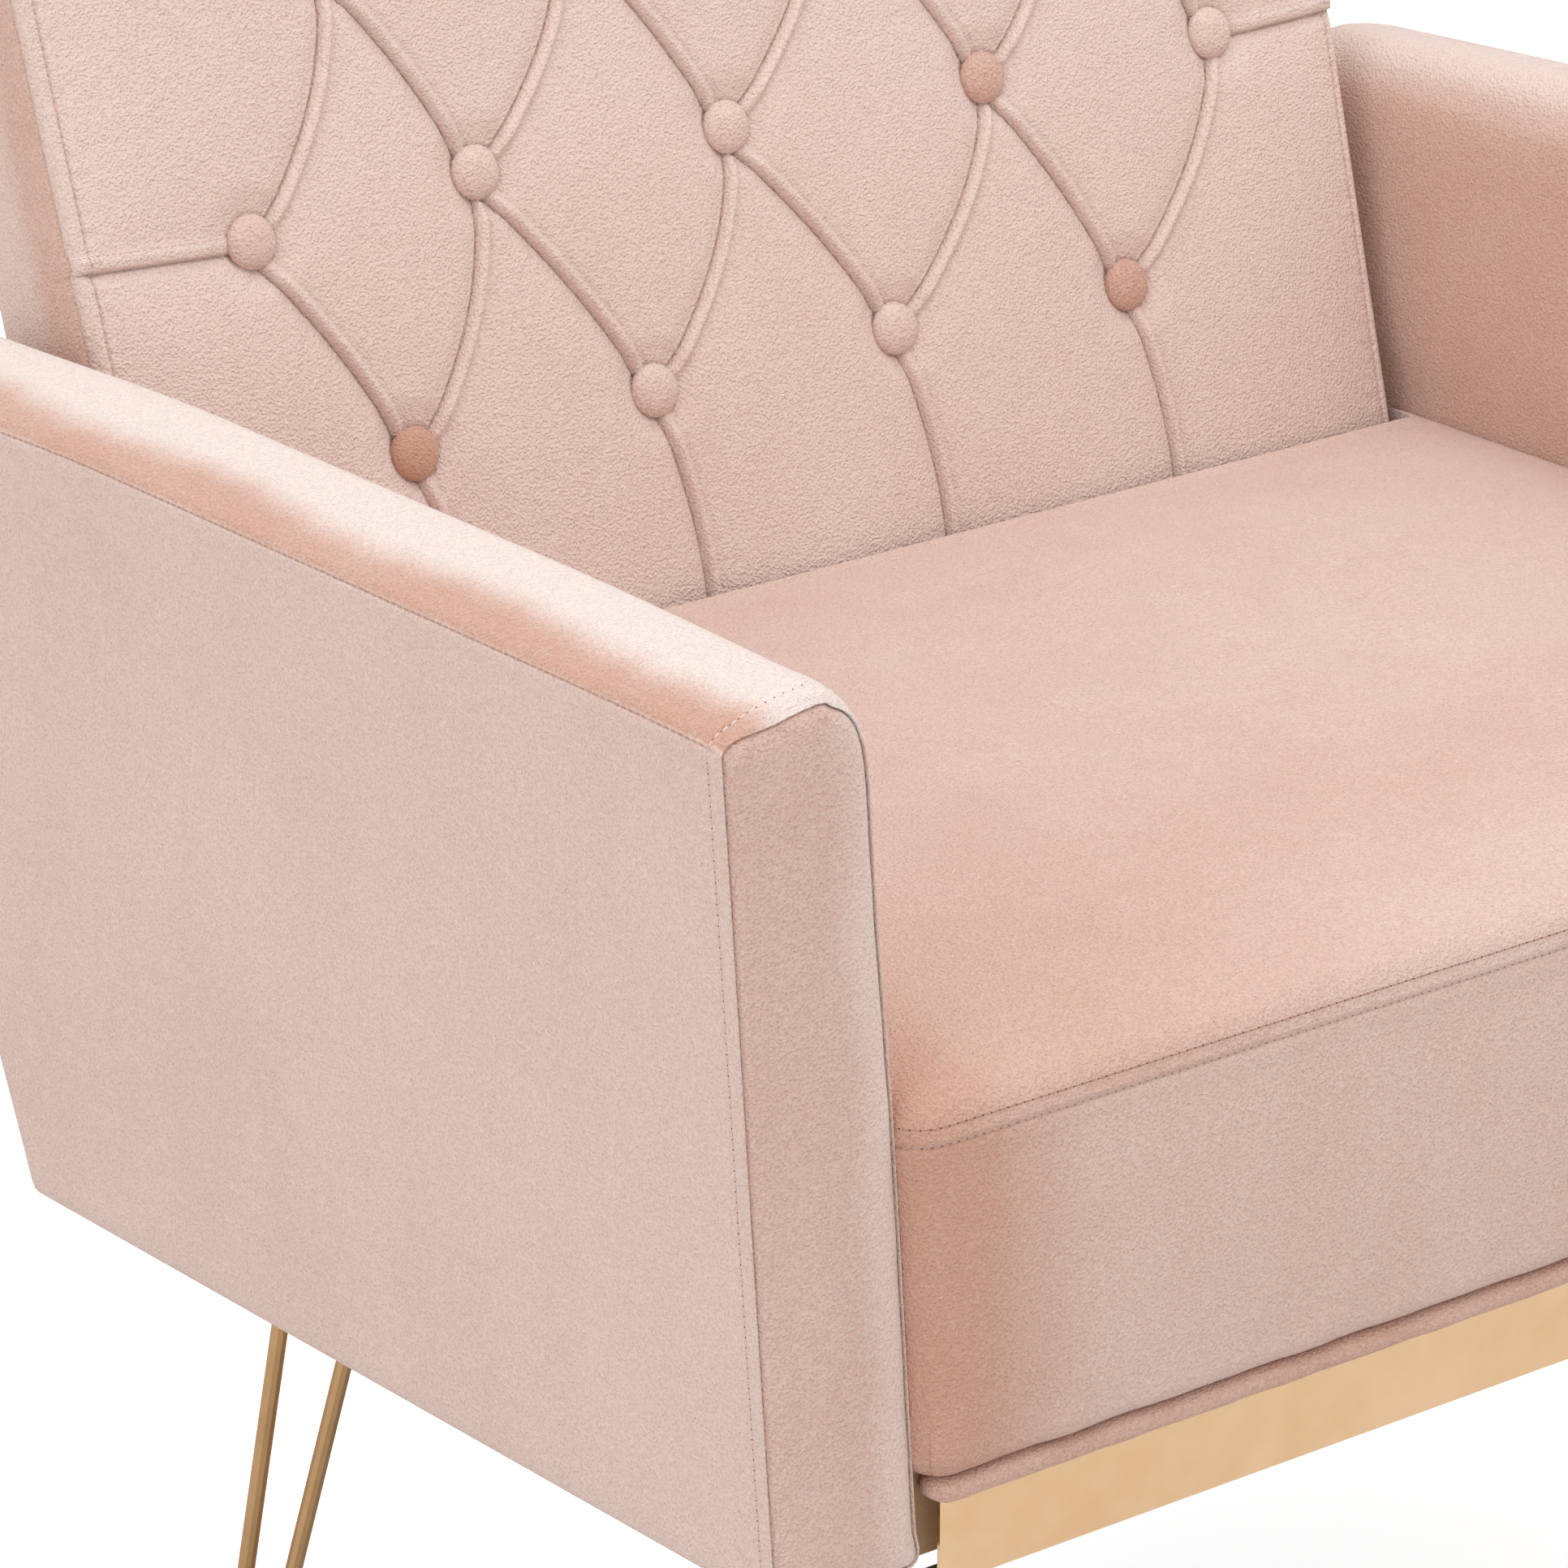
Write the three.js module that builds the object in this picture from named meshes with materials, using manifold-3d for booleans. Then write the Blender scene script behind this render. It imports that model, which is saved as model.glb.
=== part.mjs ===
// An upholstered armchair: tufted reclined back, outward-leaning arms, a box seat over a metal
// trim strip, and four bent-rod hairpin legs. Millimetres, +Z up, the front faces -Y, and the
// origin is on the floor under the middle of the chair.
import * as THREE from "three";
import { mergeVertices } from "three/addons/utils/BufferGeometryUtils.js";
import Module from "manifold-3d";

const wasm = await Module();
wasm.setup();

// Driving dimensions
const WIDTH = 820; // over the seams at the top of the arms
const ARM_SEAM_Z = 566; // outer top seam of an arm
const ARM_CROWN = 13; // how far an arm's top rises above that seam
const ARM_THICK = 64;
const ARM_FRONT_Y = -307;
const SHELL_Z = 245; // underside of the arms
const LEAN = Math.tan(THREE.MathUtils.degToRad(4)); // arms lean outward, going up
const RAKE = THREE.MathUtils.degToRad(16.5); // back and rear edges of the arms
const ARM_REAR_Y = 152; // rear edge of an arm at its underside
const SEAT_FRONT_Y = -317;
const SEAT_Z = [277.7, 424]; // underside and top of the seat unit
const HINGE_Y = 152.5; // line where the face of the back meets the seat
const HINGE_Z = 424.7;
const BACK_DEPTH = 60.5; // from the button plane to the outside of the back
const BACK_PUFF = 7; // the back's padding stands this far in front of the button plane
const BACK_HALF = 318; // half width of the back at the seat
const BACK_FLARE = 0.028; // half width gained per millimetre of height
const BACK_HEIGHT = 360; // along the back, from the seat to the top edge
const BACK_CORNER = 34;
const GAP = 0.3; // clearance between touching pieces
const FABRIC = 2;

// Base
const RAIL_THICK = 22;
const RAIL_Z = [243, 276];
const RAIL_FRONT_Y = -298;
const RAIL_REAR_Y = 155;
const RAIL_HALF = 323.2; // outer face of the side rails
const BLOCK = { leg: 100, height: 28 }; // triangular corner blocks
const SPRING_WIRE = 1.8; // radius
const SPRING_WAVES = 7;
const SPRING_SWING = 24;
const SPRING_PITCH = 132;
const SPRING_ENDS = [RAIL_FRONT_Y + 8, RAIL_REAR_Y - 8];
const SPRING_TAIL = 18; // straight length at each end, which lies in a notch in the rail
const SPRING_Z = RAIL_Z[1] - SPRING_WIRE - GAP;
const SPRING_X = [-1.5, -0.5, 0.5, 1.5].map((n) => n * SPRING_PITCH);

// Trim and lip
const TRIM_Y = -311;
const TRIM_Z = [236.2, 271.6];
const TRIM_SHEET = 1.4;
const TRIM_HALF = 318;
const LIP_Y = -315;
const LIP_Z = [267.6, 277.4];

// Buttons: hand-set rows, each shifted half a pitch from the row below
const BUTTON_RADIUS = 11;
const BUTTON_HEIGHT = 6;
// Each button's place across the back and up along it
const BUTTON_ROWS = [
  { name: "lower", places: [[-185, 79.5], [-65.5, 82], [60, 84], [185, 79.5]] },
  { name: "middle", places: [[-242, 174], [-132.5, 182.5], [-7, 179.5], [128, 177.5], [253.5, 176]] },
  { name: "upper", places: [[-187.5, 275], [-70, 277], [60.5, 276], [190.5, 275]] },
];
const POCKET = { floor: 13, mouth: 25 };

// Legs
const ROD_RADIUS = 3.5;
const LEG_TOP_Z = 238.4;
const LEG_TOP = { x: 298.2, front: -232, rear: 77 };
const LEG_SPREAD = 33; // between rod centres at the plate
const LEG_SPLAY = 45; // outward run of the foot, along the corner's diagonal
const BEND_RADIUS = 6;
const CAP_FLOOR = 3;
const CAP = { length: 28, width: 15, height: 13 };
const PLATE = { side: 62, thick: 3 };
const BOLT = { shank: 4, head: 8, headHeight: 5, clear: 4.6, z: 260, rows: [-160, 15] };

// ---------------------------------------------------------------- helpers

const sum = (list) => list.reduce((a, b) => a.add(b));

// A closed three.js geometry as a solid that can be joined and cut.
function solid(geometry, matrix = new THREE.Matrix4()) {
  const g = geometry.clone().applyMatrix4(matrix);
  g.deleteAttribute("normal");
  g.deleteAttribute("uv");
  const merged = mergeVertices(g, 1e-4);
  return new wasm.Manifold(
    new wasm.Mesh({
      numProp: 3,
      vertProperties: merged.attributes.position.array,
      triVerts: new Uint32Array(merged.index.array),
    }),
  );
}

function geometryOf(body) {
  const mesh = body.getMesh();
  const g = new THREE.BufferGeometry();
  g.setAttribute("position", new THREE.BufferAttribute(Float32Array.from(mesh.vertProperties), 3));
  g.setIndex(new THREE.BufferAttribute(Uint32Array.from(mesh.triVerts), 1));
  g.computeVertexNormals();
  return g;
}

// An axis-aligned block between two corners.
function block([x0, x1], [y0, y1], [z0, z1]) {
  const centre = new THREE.Matrix4().makeTranslation((x0 + x1) / 2, (y0 + y1) / 2, (z0 + z1) / 2);
  return solid(new THREE.BoxGeometry(x1 - x0, y1 - y0, z1 - z0), centre);
}

const outline = (points) => new THREE.Shape(points.map(([a, b]) => new THREE.Vector2(a, b)));

// An XZ outline carried along Y from y0 to y1.
function alongY(shape, y0, y1) {
  const g = new THREE.ExtrudeGeometry(shape, { depth: y1 - y0, bevelEnabled: false, curveSegments: 6 });
  const turn = new THREE.Matrix4().makeRotationX(Math.PI / 2);
  return solid(g, new THREE.Matrix4().makeTranslation(0, y1, 0).multiply(turn));
}

// A YZ outline carried along X from x0 to x1.
function alongX(shape, x0, x1) {
  const g = new THREE.ExtrudeGeometry(shape, { depth: x1 - x0, bevelEnabled: false, curveSegments: 6 });
  const axes = new THREE.Matrix4().makeBasis(
    new THREE.Vector3(0, 1, 0),
    new THREE.Vector3(0, 0, 1),
    new THREE.Vector3(1, 0, 0),
  );
  return solid(g, new THREE.Matrix4().makeTranslation(x0, 0, 0).multiply(axes));
}

// The matrix that takes the back's own axes (x across, h up its face, d into its depth) to the frame.
function backMatrix() {
  const across = new THREE.Vector3(1, 0, 0);
  const up = new THREE.Vector3(0, Math.sin(RAKE), Math.cos(RAKE));
  const depth = new THREE.Vector3(0, Math.cos(RAKE), -Math.sin(RAKE));
  const m = new THREE.Matrix4().makeBasis(across, up, depth.negate());
  return m.setPosition(0, HINGE_Y, HINGE_Z);
}

// A slab of the back: an outline in (x, h), from depth d0 to depth d1.
function backSlab(shape, d0, d1) {
  const g = new THREE.ExtrudeGeometry(shape, { depth: d1 - d0, bevelEnabled: false, curveSegments: 5 });
  return solid(g, backMatrix().multiply(new THREE.Matrix4().makeTranslation(0, 0, -d1)));
}

const backBlock = ([x0, x1], [h0, h1], [d0, d1]) =>
  backSlab(outline([[x0, h0], [x1, h0], [x1, h1], [x0, h1]]), d0, d1);

const FAR = 2000;
const above = (z) => block([-FAR, FAR], [-FAR, FAR], [z, FAR]);
const below = (z) => block([-FAR, FAR], [-FAR, FAR], [-FAR, z]);
const mirrored = (body) => body.mirror([1, 0, 0]);

const material = (color, roughness, metalness = 0) =>
  new THREE.MeshStandardMaterial({ color, roughness, metalness });
const velvet = () => material(0xdcb8a8, 0.85);
const foam = () => material(0xf1e6c8, 0.95);
const wood = () => material(0xc9a878, 0.75);
const steel = () => material(0x8d9094, 0.4, 0.9);
const gold = (roughness) => material(0xdcae74, roughness, 1);

const chair = new THREE.Group();
function add(name, body, look) {
  const mesh = new THREE.Mesh(geometryOf(body), look);
  mesh.name = name;
  chair.add(mesh);
}

// ---------------------------------------------------------------- arms (drawn as the left arm)

const outerX = (z) => -WIDTH / 2 + (ARM_SEAM_Z - z) * LEAN;

// Cross-section of an arm, drawn in by the inset on every side but the underside.
function armSection(inset, bottom) {
  const top = ARM_SEAM_Z - inset;
  const left = (z) => outerX(z) + inset;
  const right = (z) => outerX(z) + ARM_THICK - inset;
  const round = 26 - inset;
  const shape = new THREE.Shape();
  shape.moveTo(left(bottom), bottom);
  shape.lineTo(right(bottom), bottom);
  shape.lineTo(right(top - round), top - round);
  shape.bezierCurveTo(
    right(top), top, right(top) - round * 0.6, top + ARM_CROWN, left(top) + ARM_THICK * 0.4, top + ARM_CROWN,
  );
  shape.quadraticCurveTo(left(top) + 8, top + ARM_CROWN, left(top), top);
  shape.closePath();
  return shape;
}

// Side view of an arm: upright front, raked rear edge.
function armProfile(inset, bottom) {
  const top = ARM_SEAM_Z + ARM_CROWN + 10;
  const rear = (z) => ARM_REAR_Y + (z - SHELL_Z) * Math.tan(RAKE) - inset;
  return outline([
    [ARM_FRONT_Y + inset, bottom],
    [rear(bottom), bottom],
    [rear(top), top],
    [ARM_FRONT_Y + inset, top],
  ]);
}

function armBody(inset, bottom = SHELL_Z) {
  const length = alongY(armSection(inset, bottom), ARM_FRONT_Y - 50, ARM_REAR_Y + 200);
  return length.intersect(alongX(armProfile(inset, bottom), -WIDTH, 0));
}

// The board inside an arm, which carries it and takes the bolts from the base.
function armPanel(extra = 0) {
  const half = 9 + extra;
  const margin = 14 - extra;
  const middle = (z) => outerX(z) + ARM_THICK / 2;
  const [z0, z1] = [SHELL_Z + 1 - extra, ARM_SEAM_Z - margin];
  const section = outline([
    [middle(z0) - half, z0],
    [middle(z0) + half, z0],
    [middle(z1) + half, z1],
    [middle(z1) - half, z1],
  ]);
  return alongY(section, -FAR, FAR).intersect(alongX(armProfile(margin, SHELL_Z - 10), -WIDTH, 0));
}

// A rod along X, used for the bolts and their holes.
function crossRod(radius, x0, x1, y, z) {
  const g = new THREE.CylinderGeometry(radius, radius, x1 - x0, 16);
  const turn = new THREE.Matrix4().makeRotationZ(Math.PI / 2);
  return solid(g, new THREE.Matrix4().makeTranslation((x0 + x1) / 2, y, z).multiply(turn));
}

const BOLT_TIP = outerX(BOLT.z) + ARM_THICK / 2 - 6;
const BOLT_SEAT = -(RAIL_HALF - RAIL_THICK) + GAP; // inner face of the side rail
const boltHoles = () => sum(BOLT.rows.map((y) => crossRod(BOLT.clear, BOLT_TIP - 1, BOLT_SEAT + 9, y, BOLT.z)));

function armPieces() {
  const cavity = armBody(FABRIC, SHELL_Z - 10);
  const padding = armBody(FABRIC + GAP, SHELL_Z + 0.5);
  const holes = boltHoles();
  return {
    cover: [armBody(0).subtract(cavity).subtract(holes), velvet],
    padding: [padding.subtract(armPanel(GAP)).subtract(holes), foam],
    panel: [armPanel().subtract(holes), wood],
  };
}

function addArms() {
  for (const [part, [body, look]] of Object.entries(armPieces())) {
    add("left_arm_" + part, body, look());
    add("right_arm_" + part, mirrored(body), look());
  }
  BOLT.rows.forEach((y, i) => {
    const place = i === 0 ? "front" : "rear";
    const head = crossRod(BOLT.head, BOLT_SEAT, BOLT_SEAT + BOLT.headHeight, y, BOLT.z);
    const bolt = head.add(crossRod(BOLT.shank, BOLT_TIP, BOLT_SEAT + 1, y, BOLT.z));
    add("left_arm_" + place + "_bolt", bolt, steel());
    add("right_arm_" + place + "_bolt", mirrored(bolt), steel());
  });
}

// ---------------------------------------------------------------- base frame and springs

function addBase() {
  const inner = RAIL_HALF - RAIL_THICK;
  const frontInner = RAIL_FRONT_Y + RAIL_THICK;
  const rearInner = RAIL_REAR_Y - RAIL_THICK;
  const reach = SPRING_WIRE + GAP;
  const ends = [SPRING_ENDS[0] - GAP, SPRING_ENDS[1] + GAP];
  const notches = sum(SPRING_X.map((x) => block([x - reach, x + reach], ends, [SPRING_Z - reach, FAR])));
  const crossRail = (y0, y1) => block([-RAIL_HALF, RAIL_HALF], [y0, y1], RAIL_Z).subtract(notches);
  add("base_front_rail", crossRail(RAIL_FRONT_Y, frontInner), wood());
  add("base_rear_rail", crossRail(rearInner, RAIL_REAR_Y), wood());
  const side = block([-RAIL_HALF, -inner], [frontInner + GAP, rearInner - GAP], RAIL_Z).subtract(boltHoles());
  add("base_left_rail", side, wood());
  add("base_right_rail", mirrored(side), wood());

  const x = -inner + GAP;
  const corners = { front: frontInner + GAP, rear: rearInner - GAP };
  for (const [end, y] of Object.entries(corners)) {
    const run = end === "front" ? BLOCK.leg : -BLOCK.leg;
    const points = [[x, y], [x + BLOCK.leg, y], [x, y + run]];
    const shape = outline(end === "front" ? points : points.reverse());
    const g = new THREE.ExtrudeGeometry(shape, { depth: BLOCK.height, bevelEnabled: false });
    const wedge = solid(g, new THREE.Matrix4().makeTranslation(0, 0, RAIL_Z[0]));
    add(end + "_left_corner_block", wedge, wood());
    add(end + "_right_corner_block", mirrored(wedge), wood());
  }
}

// A flat wire that snakes from the front rail to the rear rail.
class SpringPath extends THREE.Curve {
  constructor(x) {
    super();
    this.x = x;
  }
  getPoint(t, target = new THREE.Vector3()) {
    const [y0, y1] = SPRING_ENDS;
    const y = THREE.MathUtils.lerp(y0, y1, t);
    const along = (y - y0 - SPRING_TAIL) / (y1 - y0 - 2 * SPRING_TAIL);
    const wave = 2 * Math.PI * SPRING_WAVES * THREE.MathUtils.clamp(along, 0, 1);
    return target.set(this.x + SPRING_SWING * Math.sin(wave), y, SPRING_Z);
  }
}

function wireSection(radius, sides) {
  const corner = (i) => [
    radius * Math.cos((2 * Math.PI * i) / sides),
    radius * Math.sin((2 * Math.PI * i) / sides),
  ];
  return outline(Array.from({ length: sides }, (_, i) => corner(i)));
}

function addSprings() {
  const steps = SPRING_WAVES * 8;
  SPRING_X.forEach((x, i) => {
    const g = new THREE.ExtrudeGeometry(wireSection(SPRING_WIRE, 5), { steps, extrudePath: new SpringPath(x) });
    add("seat_spring_" + (i + 1), solid(g), steel());
  });
}

// ---------------------------------------------------------------- seat, lip and trim

const seatHalf = (z) => -outerX(z) - ARM_THICK - 3.5;

function seatBody(inset, z0, z1) {
  const half = (z) => seatHalf(z) - inset;
  const rear = (z) => HINGE_Y - BACK_PUFF - 4 - (HINGE_Z - z) * Math.tan(RAKE) - inset;
  const section = outline([[-half(z0), z0], [half(z0), z0], [half(z1), z1], [-half(z1), z1]]);
  const front = SEAT_FRONT_Y + inset;
  const edge = 10;
  const profile = outline([
    [front, z0],
    [rear(z0), z0],
    [rear(z1 - edge), z1 - edge],
    [rear(z1 - edge) - edge, z1],
    [front + edge, z1],
    [front, z1 - edge],
  ]);
  return alongY(section, -FAR, FAR).intersect(alongX(profile, -FAR, FAR));
}

function addSeat() {
  const [z0, z1] = SEAT_Z;
  const cover = seatBody(0, z0, z1).subtract(seatBody(FABRIC, z0 - 5, z1 - FABRIC));
  add("seat_cover", cover, velvet());
  add("seat_foam", seatBody(FABRIC + GAP, z0 + GAP, z1 - FABRIC - GAP), foam());
}

function addTrim() {
  const back = RAIL_FRONT_Y - GAP;
  const [z0, z1] = TRIM_Z;
  const outer = block([-TRIM_HALF, TRIM_HALF], [TRIM_Y, back], TRIM_Z);
  const hollow = block([-FAR, FAR], [TRIM_Y + TRIM_SHEET, FAR], [z0 + TRIM_SHEET, z1 - TRIM_SHEET]);
  add("front_trim", outer.subtract(hollow), gold(0.18));

  const lip = outline([
    [LIP_Y, LIP_Z[0]],
    [TRIM_Y - GAP, LIP_Z[0]],
    [TRIM_Y - GAP, z1 + GAP],
    [back, z1 + GAP],
    [back, LIP_Z[1]],
    [LIP_Y, LIP_Z[1]],
  ]);
  add("front_lip", alongX(lip, -RAIL_HALF + 2, RAIL_HALF - 2), velvet());
}

// ---------------------------------------------------------------- back

const backHalf = (h) => BACK_HALF + BACK_FLARE * h;

function backOutline(inset) {
  const h1 = BACK_HEIGHT - inset;
  const h0 = -260;
  const half = (h) => backHalf(h) - inset;
  const r = BACK_CORNER - inset;
  const shape = new THREE.Shape();
  shape.moveTo(-half(h0), h0);
  shape.lineTo(half(h0), h0);
  shape.lineTo(half(h1 - r), h1 - r);
  shape.quadraticCurveTo(half(h1), h1, half(h1) - r, h1);
  shape.quadraticCurveTo(0, h1 + 2 * ARM_CROWN, -half(h1) + r, h1);
  shape.quadraticCurveTo(-half(h1), h1, -half(h1 - r), h1 - r);
  shape.closePath();
  return shape;
}

const buttonPlaces = BUTTON_ROWS.flatMap(({ name, places }) =>
  places.map(([x, h], i) => ({ name: name + "_button_" + (i + 1), x, h })),
);

// Places a lathed form at a button, its axis along the back's depth and its top to the front.
function atButton(geometry, { x, h }, depth) {
  const place = backMatrix().multiply(new THREE.Matrix4().makeTranslation(x, h, -depth));
  return solid(geometry, place.multiply(new THREE.Matrix4().makeRotationX(Math.PI / 2)));
}

// The dimples that the buttons pull into the padding, with their floor at the given depth.
function pockets(extra, depth) {
  const rise = BACK_PUFF + depth + 4;
  const slope = (POCKET.mouth - POCKET.floor) / BACK_PUFF;
  const profile = [
    [0, 0],
    [POCKET.floor + extra, 0],
    [POCKET.floor + extra + slope * rise, rise],
    [0, rise],
  ];
  const cone = new THREE.LatheGeometry(profile.map(([r, y]) => new THREE.Vector2(r, y)), 12);
  return sum(buttonPlaces.map((place) => atButton(cone, place, depth)));
}

function buttonGeometry() {
  const dome = new THREE.CatmullRomCurve3([
    new THREE.Vector3(BUTTON_RADIUS, 1.5, 0),
    new THREE.Vector3(BUTTON_RADIUS * 0.86, BUTTON_HEIGHT * 0.62, 0),
    new THREE.Vector3(BUTTON_RADIUS * 0.5, BUTTON_HEIGHT * 0.92, 0),
    new THREE.Vector3(0, BUTTON_HEIGHT, 0),
  ]);
  const profile = [[0, 0], [BUTTON_RADIUS - 1, 0]].map(([r, y]) => new THREE.Vector2(r, y));
  dome.getPoints(4).forEach((p) => profile.push(new THREE.Vector2(p.x, p.y)));
  profile[profile.length - 1].x = 0;
  return new THREE.LatheGeometry(profile, 14);
}

function addBack() {
  const floor = above(SEAT_Z[0]);
  const rear = BACK_DEPTH - 2.5;
  const outer = backSlab(backOutline(0), -BACK_PUFF, rear).subtract(pockets(0, GAP));
  const inner = backSlab(backOutline(FABRIC), FABRIC - BACK_PUFF, FAR).subtract(pockets(FABRIC, GAP + FABRIC));
  add("back_cover", outer.intersect(floor).subtract(inner), velvet());

  const padding = backSlab(backOutline(FABRIC + GAP), FABRIC + GAP - BACK_PUFF, 20);
  const shaped = padding.subtract(pockets(FABRIC + GAP, 2 * GAP + FABRIC));
  add("back_foam", shaped.intersect(floor), foam());

  const sheet = backBlock([-300, 300], [-150, 330], [20.3, 21.3]);
  add("back_burlap", sheet.intersect(floor), material(0xb09468, 0.95));

  const post = backBlock([-306, -284], [-260, 330], [21.7, 57]).intersect(above(RAIL_Z[1] + GAP));
  add("back_left_post", post, wood());
  add("back_right_post", mirrored(post), wood());
  const rail = (h) => backBlock([-284 + GAP, 284 - GAP], [h, h + RAIL_THICK + 8], [21.7, 45]);
  add("back_top_rail", rail(300), wood());
  add("back_bottom_rail", rail(-110), wood());

  const panel = backSlab(backOutline(4), rear + GAP, BACK_DEPTH + FABRIC);
  add("outside_back_panel", panel.intersect(above(SHELL_Z)), velvet());

  const button = buttonGeometry();
  for (const place of buttonPlaces) add(place.name, atButton(button, place, 0), velvet());
}

// ---------------------------------------------------------------- legs

const FOOT_CENTRE_Z = CAP_FLOOR + GAP + ROD_RADIUS + BEND_RADIUS;
const ROD_END_Z = LEG_TOP_Z + 2; // the rod is bent over-long and cut level under its plate

// One rod bent to a hairpin, in the plane of the corner's outward diagonal (x here) and z.
class HairpinPath extends THREE.Curve {
  constructor(bendSteps) {
    super();
    this.bendSteps = bendSteps;
    this.outer = this.tangent(LEG_SPREAD / 2, 1);
    this.inner = this.tangent(-LEG_SPREAD / 2, -1);
  }
  // The angle on the bend where the straight from (x, ROD_END_Z) touches it, on the given side.
  tangent(x, side) {
    const dx = x - LEG_SPLAY;
    const dz = ROD_END_Z - FOOT_CENTRE_Z;
    const reach = Math.hypot(dx, dz);
    return Math.atan2(dz, dx) - side * Math.acos(BEND_RADIUS / reach);
  }
  getPoint(t, target = new THREE.Vector3()) {
    const place = t * (this.bendSteps + 2);
    if (place <= 0) return target.set(LEG_SPREAD / 2, 0, ROD_END_Z);
    if (place >= this.bendSteps + 2) return target.set(-LEG_SPREAD / 2, 0, ROD_END_Z);
    const share = THREE.MathUtils.clamp((place - 1) / this.bendSteps, 0, 1);
    const sweep = this.outer - (this.inner - 2 * Math.PI);
    const angle = this.outer - share * sweep;
    return target.set(
      LEG_SPLAY + BEND_RADIUS * Math.cos(angle), 0, FOOT_CENTRE_Z + BEND_RADIUS * Math.sin(angle),
    );
  }
  getPointAt(u, target) {
    return this.getPoint(u, target);
  }
  getTangentAt(u, target = new THREE.Vector3()) {
    const place = u * (this.bendSteps + 2);
    const share = THREE.MathUtils.clamp((place - 1) / this.bendSteps, 0, 1);
    const sweep = this.outer - (this.inner - 2 * Math.PI);
    const angle = this.outer - share * sweep;
    return target.set(Math.sin(angle), 0, -Math.cos(angle));
  }
}

function hairpin(radius, sides) {
  const bendSteps = 10;
  const extrudePath = new HairpinPath(bendSteps);
  const shape = wireSection(radius, sides);
  const rod = solid(new THREE.ExtrudeGeometry(shape, { steps: bendSteps + 2, extrudePath }));
  return rod.intersect(below(LEG_TOP_Z));
}

function footCap() {
  const { length, width, height } = CAP;
  const shape = new THREE.Shape();
  const run = (length - width) / 2;
  shape.absarc(LEG_SPLAY + run, 0, width / 2, -Math.PI / 2, Math.PI / 2, false);
  shape.absarc(LEG_SPLAY - run, 0, width / 2, Math.PI / 2, (3 * Math.PI) / 2, false);
  shape.closePath();
  const g = new THREE.ExtrudeGeometry(shape, { depth: height, bevelEnabled: false, curveSegments: 8 });
  const slot = block(
    [LEG_SPLAY - BEND_RADIUS, LEG_SPLAY + BEND_RADIUS],
    [-ROD_RADIUS - GAP, ROD_RADIUS + GAP],
    [FOOT_CENTRE_Z - BEND_RADIUS, FAR],
  );
  return solid(g).subtract(hairpin(ROD_RADIUS + GAP, 12)).subtract(slot);
}

function plateBody() {
  const shape = new THREE.Shape();
  const half = PLATE.side / 2;
  const corner = 8;
  shape.moveTo(-half + corner, -half);
  shape.lineTo(half - corner, -half);
  shape.quadraticCurveTo(half, -half, half, -half + corner);
  shape.lineTo(half, half - corner);
  shape.quadraticCurveTo(half, half, half - corner, half);
  shape.lineTo(-half + corner, half);
  shape.quadraticCurveTo(-half, half, -half, half - corner);
  shape.lineTo(-half, -half + corner);
  shape.quadraticCurveTo(-half, -half, -half + corner, -half);
  const plate = new THREE.ExtrudeGeometry(shape, { depth: PLATE.thick, bevelEnabled: false, curveSegments: 3 });
  return solid(plate, new THREE.Matrix4().makeTranslation(0, 0, LEG_TOP_Z + GAP));
}

function addLegs() {
  const pieces = {
    rod: [hairpin(ROD_RADIUS, 10), () => gold(0.32)],
    cap: [footCap(), () => material(0x2b2826, 0.7)],
    plate: [plateBody(), () => gold(0.32)],
  };
  for (const end of ["front", "rear"]) {
    const diagonal = end === "front" ? -3 * Math.PI / 4 : 3 * Math.PI / 4;
    for (const [part, [body, look]] of Object.entries(pieces)) {
      const turn = part === "plate" ? 0 : THREE.MathUtils.radToDeg(diagonal);
      const placed = body.rotate([0, 0, turn]).translate([-LEG_TOP.x, LEG_TOP[end], 0]);
      add(end + "_left_leg_" + part, placed, look());
      add(end + "_right_leg_" + part, mirrored(placed), look());
    }
  }
}

function addDustCover() {
  const z = RAIL_Z[0] - GAP;
  const sheet = block([-RAIL_HALF + 4, RAIL_HALF - 4], [RAIL_FRONT_Y + 4, RAIL_REAR_Y - 4], [z - 0.7, z]);
  add("dust_cover", sheet, material(0x1d1d1f, 0.95));
}

addBase();
addSprings();
addSeat();
addTrim();
addArms();
addBack();
addLegs();
addDustCover();

export default chair;
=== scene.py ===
"""Looks of the upholstered armchair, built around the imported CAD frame."""

import math

import bmesh
import bpy
import numpy as np
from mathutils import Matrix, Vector
from mathutils.geometry import delaunay_2d_cdt


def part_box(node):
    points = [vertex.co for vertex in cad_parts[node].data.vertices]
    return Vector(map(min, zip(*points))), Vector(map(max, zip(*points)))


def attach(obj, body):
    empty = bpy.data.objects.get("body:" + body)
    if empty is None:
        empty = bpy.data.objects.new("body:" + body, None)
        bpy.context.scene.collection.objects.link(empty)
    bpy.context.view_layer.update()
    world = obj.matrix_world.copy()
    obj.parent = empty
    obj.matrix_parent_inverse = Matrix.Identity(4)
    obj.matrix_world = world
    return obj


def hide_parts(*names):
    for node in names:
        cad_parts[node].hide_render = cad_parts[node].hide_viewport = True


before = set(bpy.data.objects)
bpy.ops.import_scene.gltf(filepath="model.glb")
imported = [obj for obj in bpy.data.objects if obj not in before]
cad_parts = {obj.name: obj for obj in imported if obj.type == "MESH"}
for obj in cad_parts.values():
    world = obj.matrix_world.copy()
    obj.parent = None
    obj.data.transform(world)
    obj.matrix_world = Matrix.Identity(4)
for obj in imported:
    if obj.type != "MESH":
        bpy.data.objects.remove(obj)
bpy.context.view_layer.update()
MM = 0.001
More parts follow.
